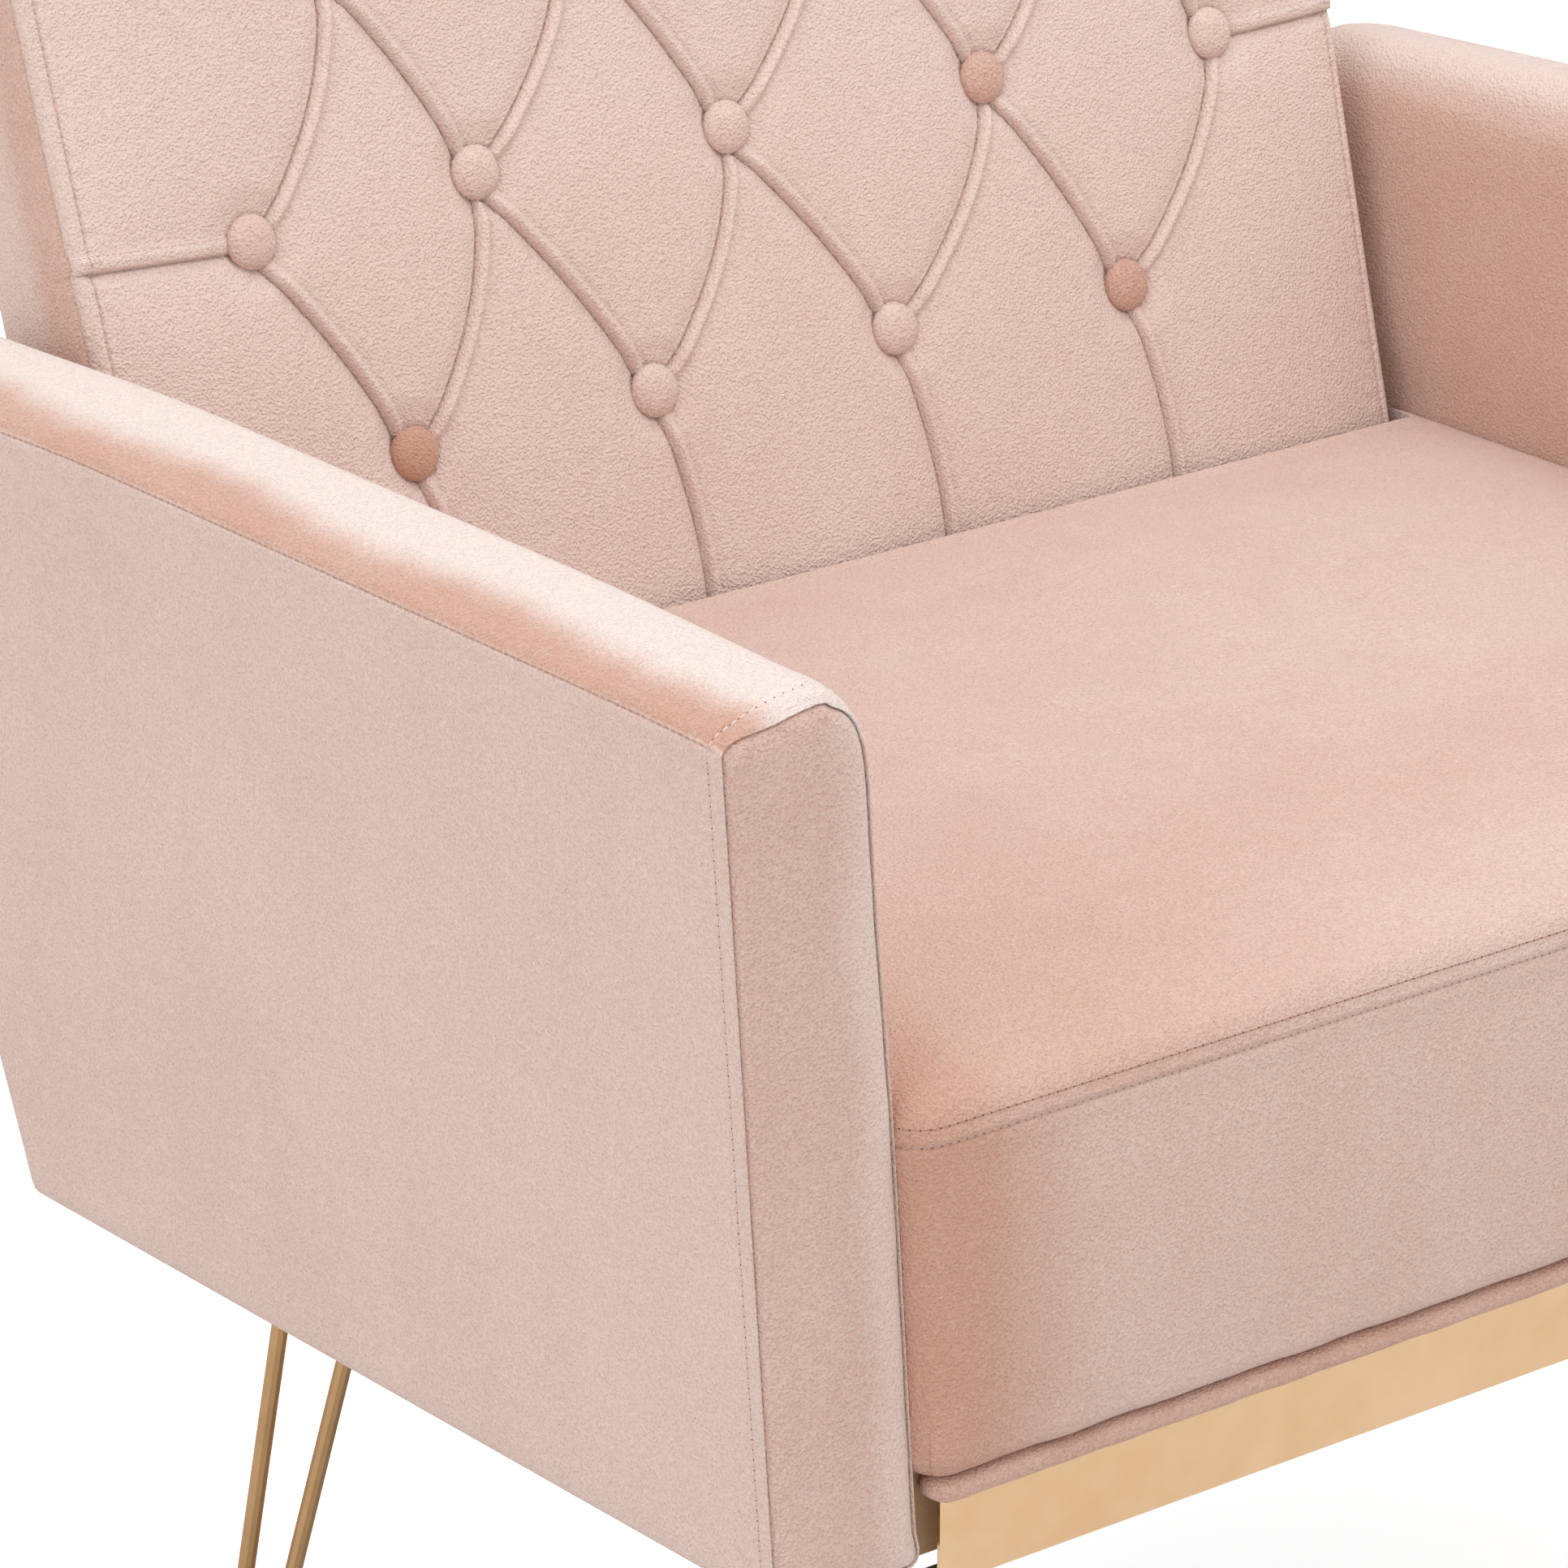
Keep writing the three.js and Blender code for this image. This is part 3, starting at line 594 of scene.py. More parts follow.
def arm_swell(s, t):
    """How the body moves out between its seams, by cloth simulation, at arc lengths s and places t."""
    sc = coarse_samples()
    tc = np.linspace(0, 1, 46)
    pc, _ = arm_section(sc)
    coarse = np.stack([arm_place(pc[:, 0], pc[:, 1], q) for q in tc])
    height = np.broadcast_to(pc[:, 1], coarse.shape[:2])
    inner = np.broadcast_to(sc > APEX_AT, height.shape)
    outer_side = (~inner) & (height < ARM_SEAM)
    pin = np.zeros(coarse.shape[:2])
    pin[0] = pin[-1] = 1
    pin[:, np.argmin(abs(sc - SEAM_AT))] = 1
    pin[:, :3] = pin[:, -3:] = 1
    pin[inner & (height < BESIDE_SEAT)] = 1
    pin[outer_side] = np.maximum(pin, OUTER_HOLD)[outer_side]
    move = inflate(coarse, pin, pressure=5.0, cap=9.0)
    rows = cubic(move, t * (len(tc) - 1)).transpose(1, 0, 2)
    return cubic(rows, np.interp(s, sc, np.arange(len(sc)))).transpose(1, 0, 2)


def arm_relief(s, ring_z, ring_n, d):
    """Height of the top seam, front band, puckers and gathers; d is the distance from the front."""
    off = abs(s - SEAM_AT)
    relief = np.zeros((len(d), len(ring_z)))
    seam = -0.9 * np.exp(-(off / 0.55) ** 2) + 0.3 * np.exp(-((off - 4) / 2.6) ** 2)
    puckers = 0.22 * ripple(d, 5, 7.5) * np.exp(-((off[None] - 2.4) / 2.4) ** 2)
    relief[:, :len(s)] += seam[None] * smoothstep(d, 0.6, 4.0) + puckers * smoothstep(d, 8, 20)
    above = smoothstep(ring_z, ARM_SEAM - 4, ARM_SEAM + 2)[None]
    groove = -0.7 * np.exp(-((d - BAND) / 0.6) ** 2) + 0.3 * np.exp(-((d - 3.0) / 1.8) ** 2) \
        + 0.45 * np.exp(-((d - 11) / 5.0) ** 2)
    walls = (ring_n[:, 1] > -0.7)[None]
    relief += groove * walls * (0.35 + 0.65 * above)
    run = np.concatenate([s, np.full(CAP_COLS - 1, ARM_END)])[None]
    relief += above * 0.55 * ripple(run, 11, 4.2) * np.exp(-((d - 3.0) / 2.6) ** 2)
    relief += above * 0.4 * ripple(run + 0.35 * d, 12, 14.0) * np.exp(-d / 16.0) * smoothstep(d, 4, 9)
    gather = np.exp(-((ring_z[None] - ARM_SEAM + 16) / 26) ** 2) * (run < SEAM_AT)
    relief += gather * 0.5 * ripple(d - 0.08 * (ring_z[None] - ARM_SEAM), 21, 17.0) \
        * smoothstep(d, 6, 12) * (1 - smoothstep(d, 30, 75))
    side_wave = 0.3 * ripple(ring_z[None] + 0.2 * d, 31, 30.0)
    relief += side_wave * np.exp(-d / 9.0) * (run < SEAM_AT) * smoothstep(d, 6, 10)
    return relief


def arm_inward(verts):
    """Distance of the left arm's points inward from its leaning outer side."""
    return verts[:, 0] - (ARM_OUT + (ARM_SEAM - verts[:, 2]) * LEAN)


def arm_pile_and_painted_light(verts, side):
    """Rosy beside the top seam for the pile direction, a painted sheen highlight over the top, and the inner
    face rosier, with painted shade and the pile leaning away.
    """
    w_of = arm_inward(verts) - TOE_IN * (verts[:, 1] - ARM_FRONT) * smoothstep(verts[:, 2], 380.0, 470.0)
    top = smoothstep(verts[:, 2], ARM_SEAM - 10.0, ARM_SEAM - 8.0) * smoothstep(w_of, 0.3, 1.2)
    wander = w_of + 4.0 * ripple(verts[:, 1], 45, 150.0) + 1.2 * ripple(verts[:, 1], 46, 24.0)
    # the pale top beyond the rosy seam band is a painted sheen highlight, stronger on the left arm
    paler = 1.45 if side == "left" else 1.05
    pile_and_painted_light = 0.22 * (1 - top) + top * (0.9 - paler * smoothstep(wander, 8, 28))
    # the inner face is rosier: painted shade there, with the pile direction
    inside = smoothstep(w_of, 56, 66) * smoothstep(verts[:, 1], ARM_FRONT + 10, ARM_FRONT + 45)
    return pile_and_painted_light + (0.62 - pile_and_painted_light) * inside * (1 - 0.3 * smoothstep(verts[:, 2], 520, 575))


def build_arm(side):
    """One arm: padded body with its top seam and front band, the inset front pad, and their stitching."""
    sign = -1.0 if side == "right" else 1.0
    s, apex = fine_samples()
    p, n = arm_section(s)
    bottom_w = ARM_LINE[-1, 0] + (ARM_LINE[0, 0] - ARM_LINE[-1, 0]) * CAP_AT[1:-1]
    ring_w = np.concatenate([p[:, 0], bottom_w])
    ring_z = np.concatenate([p[:, 1], np.full(CAP_COLS - 1, ARM_BOTTOM)])
    ring_n = np.concatenate([n, np.tile([[0.0, -1.0]], (CAP_COLS - 1, 1))])
    normal3 = np.stack([ring_n[:, 0], 0 * ring_n[:, 0], ring_n[:, 1]], 1)
    length = ARM_REAR - ARM_FRONT
    dist = np.concatenate([FRONT_STEPS, np.linspace(40, length - 40, 44), length - REAR_STEPS])
    t = dist / length
    d = dist[:, None]
    swell = np.maximum((arm_swell(s, t) * normal3[None, :len(s)]).sum(2), 0)
    body = np.stack([arm_place(ring_w, ring_z, q) for q in t])
    body[:, :len(s)] += 1.5 * np.tanh(swell / 4.0)[..., None] * normal3[None, :len(s)]
    body += arm_relief(s, ring_z, ring_n, d)[..., None] * normal3[None]
    # the front edge rolls down to the pad's crease, most over the top
    over_top = smoothstep(ring_z, ARM_SEAM - 30, ARM_SEAM + 2) * smoothstep(ring_w, 0.0, 24.0) \
        * (1 - smoothstep(ring_w, 53.0, 64.0))
    inner_wall = smoothstep(ring_w, 50.0, 62.0) * (ring_z > ARM_BOTTOM + 8)
    fall = -0.6 + 4.3 * over_top + 1.1 * inner_wall
    rolled = 1 - np.sqrt(1 - (1 - np.minimum(d, BAND) / BAND) ** 2)
    body -= (rolled * fall[None])[..., None] * normal3[None]

    def edge(base, inward, along):
        ring = base - inward * normal3
        ring[:, 1] += along
        return ring

    front = [edge(body[0], k, q)
             for k, q in ((0.08, -0.3), (0.28, -0.52), (0.5, -0.58), (0.75, -0.4), (0.9, 0.2))]
    recess = [edge(body[0], PAD_INSET - 0.15, 2.5), edge(body[0], PAD_INSET - 0.05, PAD_DEPTH + 2.0)]
    rear = [edge(body[-1], k, q) for k, q in ((0.3, 1.2), (1.1, 2.3), (2.4, 3.0), (4.0, 3.3))]
    verts, faces = capped(recess[::-1] + front[::-1] + list(body) + rear, apex, (flat_end, rear_end))
    pile_and_painted_light = arm_pile_and_painted_light(verts, side)
    verts[:, 0] *= sign
    arm = make(f"{side}_arm_upholstery", verts, clean(faces), ARM_VELVET, pile_and_painted_light)
    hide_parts(f"{side}_arm_cover", f"{side}_arm_padding")
    # front pad
    flat = edge(body[0], PAD_INSET, 0.0)
    flat[:, 1] = ARM_FRONT
    pad_rings = [edge(flat, k, y)
                 for k, y in ((0.6, PAD_DEPTH), (0.0, PAD_DEPTH - 1.5), (0.0, 1.6), (0.2, 0.5))]
    verts, faces = capped(pad_rings, apex, (flat_end, pad_end))
    pile_and_painted_light = 0.46 - 0.50 * smoothstep(arm_inward(verts) + 2.0 * ripple(verts[:, 2], 47, 90.0), 38, 60)
    verts[:, 0] *= sign
    pad = make(f"{side}_arm_front_pad", verts, clean(faces), VELVET, pile_and_painted_light)
    # stitching: the top seam, and the line round the front edge
    flip = np.array([sign, 1, 1])
    column = int(np.argmin(abs(s - SEAM_AT - 0.35)))
    line = body[12:-8, column] * flip
    runs = [(line, np.tile(normal3[column] * flip, (len(line), 1)))]
    stitches(f"{side}_arm_seam_thread", runs, SEAM_THREAD, pitch=3.9, length=3.2, radius=0.2)
    row = int(np.argmin(abs(dist - BAND)))
    last = int(np.argmin(abs(s - (APEX_AT + 70))))
    corner = int(np.argmin(abs(s - SEAM_AT)))
    for name, first, end, thread in (("side", 3, corner, THREAD), ("top", corner, last, TACK_THREAD)):
        runs = [(body[row, first:end] * flip, normal3[first:end] * flip)]
        stitches(f"{side}_arm_{name}_stitching", runs, thread, pitch=3.9, length=2.7, radius=0.3)
        # dark dots at each stitch end: painted shade in the needle holes
        stitches(f"{side}_arm_{name}_needle_marks", runs, PAINTED_HOLE_SHADE, pitch=3.9, length=0.7, radius=0.2,
                 sink=-0.2, start=1.0)


for which in ("left", "right"):
    build_arm(which)

# ------------------------------------------------------------------- seat
seat_lo, seat_hi = node_box("seat_cover")
SEAT_FRONT, SEAT_BOTTOM = seat_lo[1], seat_lo[2]
SEAT_SEAM = 409.5
SEAT_ROLL = 15.0
SEAT_BAND = 3.6
SEAT_CLEAR = 62.6
REAR_TUCK = 5.0
BESIDE_BACK = 17.0
SEAT_CROWN_TOP = 424.0


def seat_half(z):
    return -(ARM_OUT + (ARM_SEAM - z) * LEAN) - SEAT_CLEAR


def seat_rear(z):
    return 141.5 - (424.7 - z) * math.tan(RAKE)


def seat_loop(z, inset, a, b):
    """Outline as four runs between mid-corners: front, right side, rear, left side. a and b are positions
    0..1 across and back."""
    half, front, rear = seat_half(z) - inset, SEAT_FRONT + inset, seat_rear(z) - inset
    rf, rr = max(15.0 - inset, 3.0), max(4.0 - inset, 3.0)

    def run(c0, c1, r0, r1, t0, t1, q):
        arc0 = np.linspace(t0[0], t0[1], 30)
        arc1 = np.linspace(t1[0], t1[1], 30)
        pts = np.concatenate([np.stack([c0[0] + r0 * np.cos(arc0), c0[1] + r0 * np.sin(arc0)], 1),
                              np.stack([c1[0] + r1 * np.cos(arc1), c1[1] + r1 * np.sin(arc1)], 1)])
        step = np.concatenate([[0], np.cumsum(np.linalg.norm(np.diff(pts, axis=0), axis=1))])
        return np.stack([np.interp(q * step[-1], step, pts[:, k]) for k in (0, 1)], 1)

    fl, fr = (-half + rf, front + rf), (half - rf, front + rf)
    bl, br = (-half + rr, rear - rr), (half - rr, rear - rr)
    q = math.pi / 4
    f = run(fl, fr, rf, rf, (-3 * q, -2 * q), (-2 * q, -q), a)
    r = run(fr, br, rf, rr, (-q, 0), (0, q), b)
    k = run(bl, br, rr, rr, (3 * q, 2 * q), (2 * q, q), a)
    l = run(fl, bl, rf, rr, (-3 * q, -4 * q), (-4 * q, -5 * q), b)
    return f, r, k, l


def coons(f, r, k, l, a, b):
    """Grid (rows back, columns across) between four boundary runs."""
    A, B = a[None, :, None], b[:, None, None]
    grid = (1 - B) * f[None] + B * k[None] + (1 - A) * l[:, None] + A * r[:, None]
    return grid - ((1 - A) * (1 - B) * f[0] + A * (1 - B) * f[-1] + (1 - A) * B * k[0] + A * B * k[-1])


def ring_of(f, r, k, l):
    """One closed loop: front left to right, right side back, rear right to left, left side forward."""
    return np.concatenate([f[:-1], r[:-1], k[::-1][:-1], l[::-1][:-1]])


def grid_ring(rows, cols, base=0):
    idx = np.arange(rows * cols).reshape(rows, cols) + base
    return np.concatenate([idx[0, :-1], idx[:-1, -1], idx[-1, ::-1][:-1], idx[::-1, 0][:-1]])


def open_edge(f, r, k, l):
    """The edge the top rolls down at: left side forward, front, right side back."""
    return np.concatenate([l[::-1][:-1], f[:-1], r])


def seat_top_height(xy, edge):
    far, _, _ = polyline_distance(xy.reshape(-1, 2), edge)
    far = far.reshape(xy.shape[:2])
    k = 1 - np.minimum(far, SEAT_ROLL * 1.25) / (SEAT_ROLL * 1.25)
    return SEAT_SEAM + (SEAT_CROWN_TOP - SEAT_SEAM) * np.sqrt(np.maximum(1 - k ** 2.2, 0)), far


def build_seat():
    ends = np.array([0, 0.2, 0.6, 1.2, 2.0, 3.0, 4.4, 6.2, 8.6, 11.6, 15.2, 19.5, 25.0])
    ac, bc = np.linspace(0, 1, 80), np.linspace(0, 1, 58)
    loop_c = seat_loop(SEAT_SEAM, 0, ac, bc)
    flat_c = coons(*loop_c, ac, bc)
    zc, far = seat_top_height(flat_c, open_edge(*loop_c))
    rear = seat_rear(SEAT_SEAM)
    pin = np.maximum(1 - smoothstep(far, 2, 20), smoothstep(flat_c[..., 1], rear - 14, rear - 3))
    move = inflate(np.dstack([flat_c, zc]), pin, pressure=3.0, cap=10.0)
    width, depth = 2 * seat_half(SEAT_SEAM), rear - SEAT_FRONT
    a = np.concatenate([ends / width, np.linspace(32 / width, 1 - 32 / width, 120), 1 - ends[::-1] / width])
    b = np.concatenate([ends / depth, np.linspace(32 / depth, 1 - 32 / depth, 84), 1 - ends[::-1] / depth])
    loop = seat_loop(SEAT_SEAM, 0, a, b)
    flat = coons(*loop, a, b)
    ring2 = ring_of(*loop)
    z, far = seat_top_height(flat, open_edge(*loop))
    top = np.dstack([flat, z])
    top[..., 1] += REAR_TUCK * smoothstep(flat[..., 1], 100.0, 134.0)
    lifted = cubic(cubic(move, b * (len(bc) - 1)).transpose(1, 0, 2), a * (len(ac) - 1)).transpose(1, 0, 2)
    top += lifted * smoothstep(far, 0, 10)[..., None]
    rows, cols = len(b), len(a)
    verts = [top.reshape(-1, 3)]
    count = rows * cols
    faces = quads(np.arange(count).reshape(rows, cols))
    # wall below the seam
    levels = np.concatenate([[0.5, 1.2, 2.0, 2.7, 3.2, 3.5, 3.8, 4.1, 4.6, 5.4, 6.8, 9, 12.5],
                             np.linspace(18, SEAT_SEAM - SEAT_BOTTOM - 16, 14),
                             SEAT_SEAM - SEAT_BOTTOM - np.array([12.5, 9.5, 7, 5, 3.2, 1.8, 0.8, 0.0])])
    wall_rows = []
    ring_index = grid_ring(rows, cols)
    n_ring = len(ring_index)
    run = np.concatenate([[0], np.cumsum(np.linalg.norm(np.diff(ring2, axis=0), axis=1))])
    # coarse wall, blown out between the seam and the bottom edge
    lc = np.linspace(0, SEAT_SEAM - SEAT_BOTTOM, 15)
    ring_c = [ring_of(*seat_loop(SEAT_SEAM - v, 0, ac, bc)) for v in lc]
    coarse = np.stack([np.column_stack([xy, np.full(len(xy), SEAT_SEAM - v)]) for xy, v in zip(ring_c, lc)])
    pin = np.zeros(coarse.shape[:2])
    pin[:2] = pin[-2:] = 1
    pin[:, coarse[0, :, 1] > SEAT_FRONT + 60] = 1
    bulge = inflate(coarse[:, ::-1], pin[:, ::-1], pressure=4.0, cap=4.5, wrap=True)[:, ::-1]
    run_c = np.concatenate([[0], np.cumsum(np.linalg.norm(np.diff(coarse[0, :, :2], axis=0), axis=1))])
    col_at = np.interp(run, run_c, np.arange(len(run_c)))
    for v in levels:
        zz = SEAT_SEAM - v
        left = zz - SEAT_BOTTOM
        tuck = 9.0 * (1 - math.sqrt(max(0.0, 1 - (1 - min(left, 9.0) / 9.0) ** 2)))
        xy = ring_of(*seat_loop(zz, tuck, a, b))
        wall_rows.append(np.column_stack([xy, np.full(n_ring, zz)]))
    wall = np.stack(wall_rows)
    bulge = cubic(bulge, levels / (SEAT_SEAM - SEAT_BOTTOM) * (len(lc) - 1)).transpose(1, 0, 2)
    wall += cubic(bulge, col_at, True).transpose(1, 0, 2)
    tangent = np.roll(ring2, -1, 0) - np.roll(ring2, 1, 0)
    out = unit(np.stack([tangent[:, 1], -tangent[:, 0]], 1))
    out3 = np.column_stack([out, np.zeros(n_ring)])
    v = levels[:, None]
    band = 0.6 * np.exp(-((v - 1.0) / 1.6) ** 2) - 0.8 * np.exp(-((v - SEAT_BAND) / 0.4) ** 2) \
        + 0.5 * np.exp(-((v - 7.5) / 3) ** 2)
    band = band + 0.22 * ripple(run[None], 54, 7.4) * np.exp(-((v - 1.0) / 3.0) ** 2)
    low = SEAT_SEAM - SEAT_BOTTOM - v
    pucker = 1.1 * ripple(run[None] + 0.4 * v, 51, 44.0) * np.exp(-((low - 9) / 12) ** 2)
    pucker = pucker + 0.25 * ripple(run[None], 52, 13.0) * np.exp(-((low - 5) / 5) ** 2)
    pucker = pucker + 0.25 * ripple(run[None], 53, 9.0) * np.exp(-((v - 6) / 5) ** 2)
    for place in (30.0, 47.0, 69.0):
        fold = np.exp(-((run[None] - place - 0.25 * low) / 2.6) ** 2)
        pucker = pucker - 1.3 * fold * np.exp(-((low - 11) / 9) ** 2)
    wall += (band + pucker)[..., None] * out3
    verts.append(wall.reshape(-1, 3))
    w_index = np.arange(wall.shape[0] * n_ring).reshape(-1, n_ring) + count
    faces += [f[::-1] for f in quads(np.concatenate([ring_index[None], w_index]), True)]
    # underside
    under = coons(*seat_loop(SEAT_BOTTOM, 9.0, a, b), a, b)
    base = count + wall.shape[0] * n_ring
    verts.append(np.dstack([under, np.full(under.shape[:2], SEAT_BOTTOM)]).reshape(-1, 3))
    sewn = dict(zip(grid_ring(rows, cols, base).tolist(), w_index[-1].tolist()))
    under_index = np.arange(count).reshape(rows, cols) + base
    faces += [[sewn.get(i, i) for i in f[::-1]] for f in quads(under_index)]
    verts = np.concatenate(verts)
    # the rear corners reach back beside the back cushion
    beside = smoothstep(abs(verts[:, 0]), 321.0, 324.0)
    verts[:, 1] += BESIDE_BACK * beside * smoothstep(verts[:, 1], 112.0, 134.0)
    pile_and_painted_light = 0.30 + 0.30 * smoothstep(-verts[:, 1], 60, 300) - 0.12 * smoothstep(verts[:, 0], -100, 320)
    pile_and_painted_light -= 0.30 * smoothstep(-verts[:, 1], 190, 285) * smoothstep(verts[:, 0], -240, -60)
    side = verts[:, 2] < SEAT_SEAM - SEAT_BAND
    # painted shade: the top is rosier at its left end, beside the left arm
    left_end_shade = 1 - smoothstep(verts[:, 0] + seat_half(SEAT_SEAM), 8, 60)
    pile_and_painted_light += 0.3 * left_end_shade
    # painted shade: the front wall is rosier towards its left corner, beside the left arm
    wall_end_shade = 1 - smoothstep(verts[:, 0] + seat_half(SEAT_SEAM), 20, 90)
    pile_and_painted_light[side] = (0.34 + 0.62 * wall_end_shade - 0.20 * smoothstep(verts[:, 0], -60, 200))[side]
    used = sorted({i for f in faces for i in f})
    remap_i = {u: i for i, u in enumerate(used)}
    faces = clean([[remap_i[i] for i in f] for f in faces])
    seat = make("seat_cushion", verts[used], faces, SEAT_VELVET, pile_and_painted_light[used])
    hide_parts("seat_cover", "seat_foam")
    # stitching either side of the front seam, round both corners
    row = int(np.argmin(abs(levels - SEAT_BAND)))
    normal = np.concatenate([out3[-40:], out3[:cols + 40]])
    runs = [(np.concatenate([wall[row, -40:], wall[row, :cols + 40]]), normal)]
    stitches("seat_stitching", runs, PALE_THREAD, pitch=3.7, length=2.9, radius=0.24)
    # dark dots at each stitch end: painted shade in the needle holes
    stitches("seat_painted_needle_shade", runs, PAINTED_HOLE_SHADE, pitch=3.7, length=0.7, radius=0.19, sink=-0.3, start=1.0)
    rim = top.reshape(-1, 3)[ring_index]
    up = np.concatenate([rim[-40:], rim[:cols + 40]]) + [0, 0, 3.3]
    up[:, :2] -= normal[:, :2] * 0.45
    runs = [(up, unit(normal + [0, 0, 0.35]))]
    stitches("seat_upper_stitching", runs, SEAM_THREAD, pitch=3.7, length=2.9, radius=0.24)
    # dark dots at each stitch end: painted shade in the needle holes
    stitches("seat_upper_painted_needle_shade", runs, PAINTED_HOLE_SHADE, pitch=3.7, length=0.9, radius=0.26, sink=-0.3,
             start=1.0)


build_seat()

# ------------------------------------------------------------------- back
BUTTON_COUNTS = (("lower", 4), ("middle", 5), ("upper", 4))
button_nodes = [f"{row}_button_{i}" for row, n in BUTTON_COUNTS for i in range(1, n + 1)]
E_H = np.array([0, math.sin(RAKE), math.cos(RAKE)])
E_D = np.array([0, math.cos(RAKE), -math.sin(RAKE)])
SECOND_LOWER_H, MIDDLE_H = 82.0, 178.0
centres = {n: (node_box(n)[0] + node_box(n)[1]) / 2 for n in button_nodes}
HINGE = centres["lower_button_2"] * [0, 1, 1] - SECOND_LOWER_H * E_H
HINGE = HINGE - ((HINGE - np.array([0, 152.5, 424.7])) @ E_D) * E_D
BUTTON_XH = {n: np.array([c[0], (c - HINGE) @ E_H]) for n, c in centres.items()}
BACK_TOP = 360.0
BACK_DEEP = 60.5
BACK_ARCH = 13.0
BACK_CORNER = 34.0


def back_point(x, h, d):
    return np.stack([x, HINGE[1] + h * E_H[1] + d * E_D[1], HINGE[2] + h * E_H[2] + d * E_D[2]], -1)


def back_half(h):
    return 318.0 + 0.028 * h


def back_outline(step=3.0):
    """Closed outline of the back's face in (x, h), counter-clockwise from the bottom left."""
    corner, low = BACK_CORNER, -148.0
    top_half = back_half(BACK_TOP)
    right = [(back_half(h), h) for h in np.arange(low, BACK_TOP - corner - 4, 6.0)]
    arc = [(top_half - corner + corner * math.cos(t), BACK_TOP - corner + corner * math.sin(t))
           for t in np.linspace(0, math.pi / 2, 14)]
    crown = [(x, BACK_TOP + BACK_ARCH * (1 - (x / (top_half - corner)) ** 2))
             for x in np.linspace(top_half - corner, 0, 40)[1:]]
    right_side = np.array([(0, low)] + right + arc + crown)
    left_side = right_side[::-1] * [-1, 1]
    line = np.concatenate([right_side, left_side[1:-1]])
    line = np.concatenate([line, line[:1]])
    return resample(line, step)[:-1]


def bowed(a, b, bow, n=24):
    """Curve from a up to b that swells to the right by bow."""
    t = np.linspace(0, 1, n)[:, None]
    line = np.array(a, float) * (1 - t) + np.array(b, float) * t
    line[:, 0] += bow * np.sin(np.pi * t[:, 0])
    return line


RISING = (np.array([9.7, 7.7]), np.array([-2.4, -10.6]), 7.5)
FALLING = (np.array([-7.0, 6.9]), np.array([2.4, -10.9]), 3.5)
VERTICAL_BOW = 6.5


def tuck_lines():
    """Every pleat of the tufting as (points from low to high, kind)."""
    low = [BUTTON_XH[f"lower_button_{i}"] for i in range(1, 5)]
    mid = [BUTTON_XH[f"middle_button_{i}"] for i in range(1, 6)]
    top = [BUTTON_XH[f"upper_button_{i}"] for i in range(1, 5)]
    lines = []
    for i in range(4):
        for start, end, (foot, head, bow), kind in (
                (low[i], mid[i + 1], RISING, "rising"), (low[i], mid[i], FALLING, "falling"),
                (mid[i], top[i], RISING, "rising"), (mid[i + 1], top[i], FALLING, "falling")):
            lines.append((bowed(start + foot, end + head, bow), kind))
        lines.append((bowed((low[i][0] + 3, -40.0), low[i] + [0, -9], VERTICAL_BOW), "vertical"))
        edge = BACK_TOP + BACK_ARCH * (1 - (top[i][0] / 290.0) ** 2)
        lines.append((bowed(top[i] + [0, 9], (top[i][0] - 1, edge), 2.5), "vertical"))
    lines.append((bowed((-back_half(MIDDLE_H), MIDDLE_H - 3), mid[0] - [9, 3], 0.0), "side"))
    lines.append((bowed(mid[4] + [9, -3], (back_half(MIDDLE_H), MIDDLE_H - 3), 0.0), "side"))
    return lines


TUCKS = tuck_lines()
OUTLINE = back_outline()
SIDE_BAND = 6.3


def tuck_field(xh):
    """Distance to the nearest pleat, its signed side (right or up positive), arc length, and whether it is a
    side pleat."""
    best = np.full(len(xh), 1e9)
    signed = np.zeros(len(xh))
    along = np.zeros(len(xh))
    flat = np.zeros(len(xh), bool)
    for line, kind in TUCKS:
        near = (abs(xh[:, 0] - line[:, 0].mean()) < np.ptp(line[:, 0]) / 2 + 60) \
            & (abs(xh[:, 1] - line[:, 1].mean()) < np.ptp(line[:, 1]) / 2 + 60)
        if not near.any():
            continue
        idx = np.nonzero(near)[0]
        r, side, run = polyline_distance(xh[idx], line)
        if kind != "side":
            side = -side
        closer = r < best[idx]
        sel = idx[closer]
        best[sel], signed[sel], along[sel] = r[closer], (side * r)[closer], run[closer]
        flat[sel] = kind == "side"
    return best, signed, along, flat


def button_field(xh):
    best = np.full(len(xh), 1e9)
    for c in BUTTON_XH.values():
        best = np.minimum(best, np.hypot(*(xh - c).T))
    return best


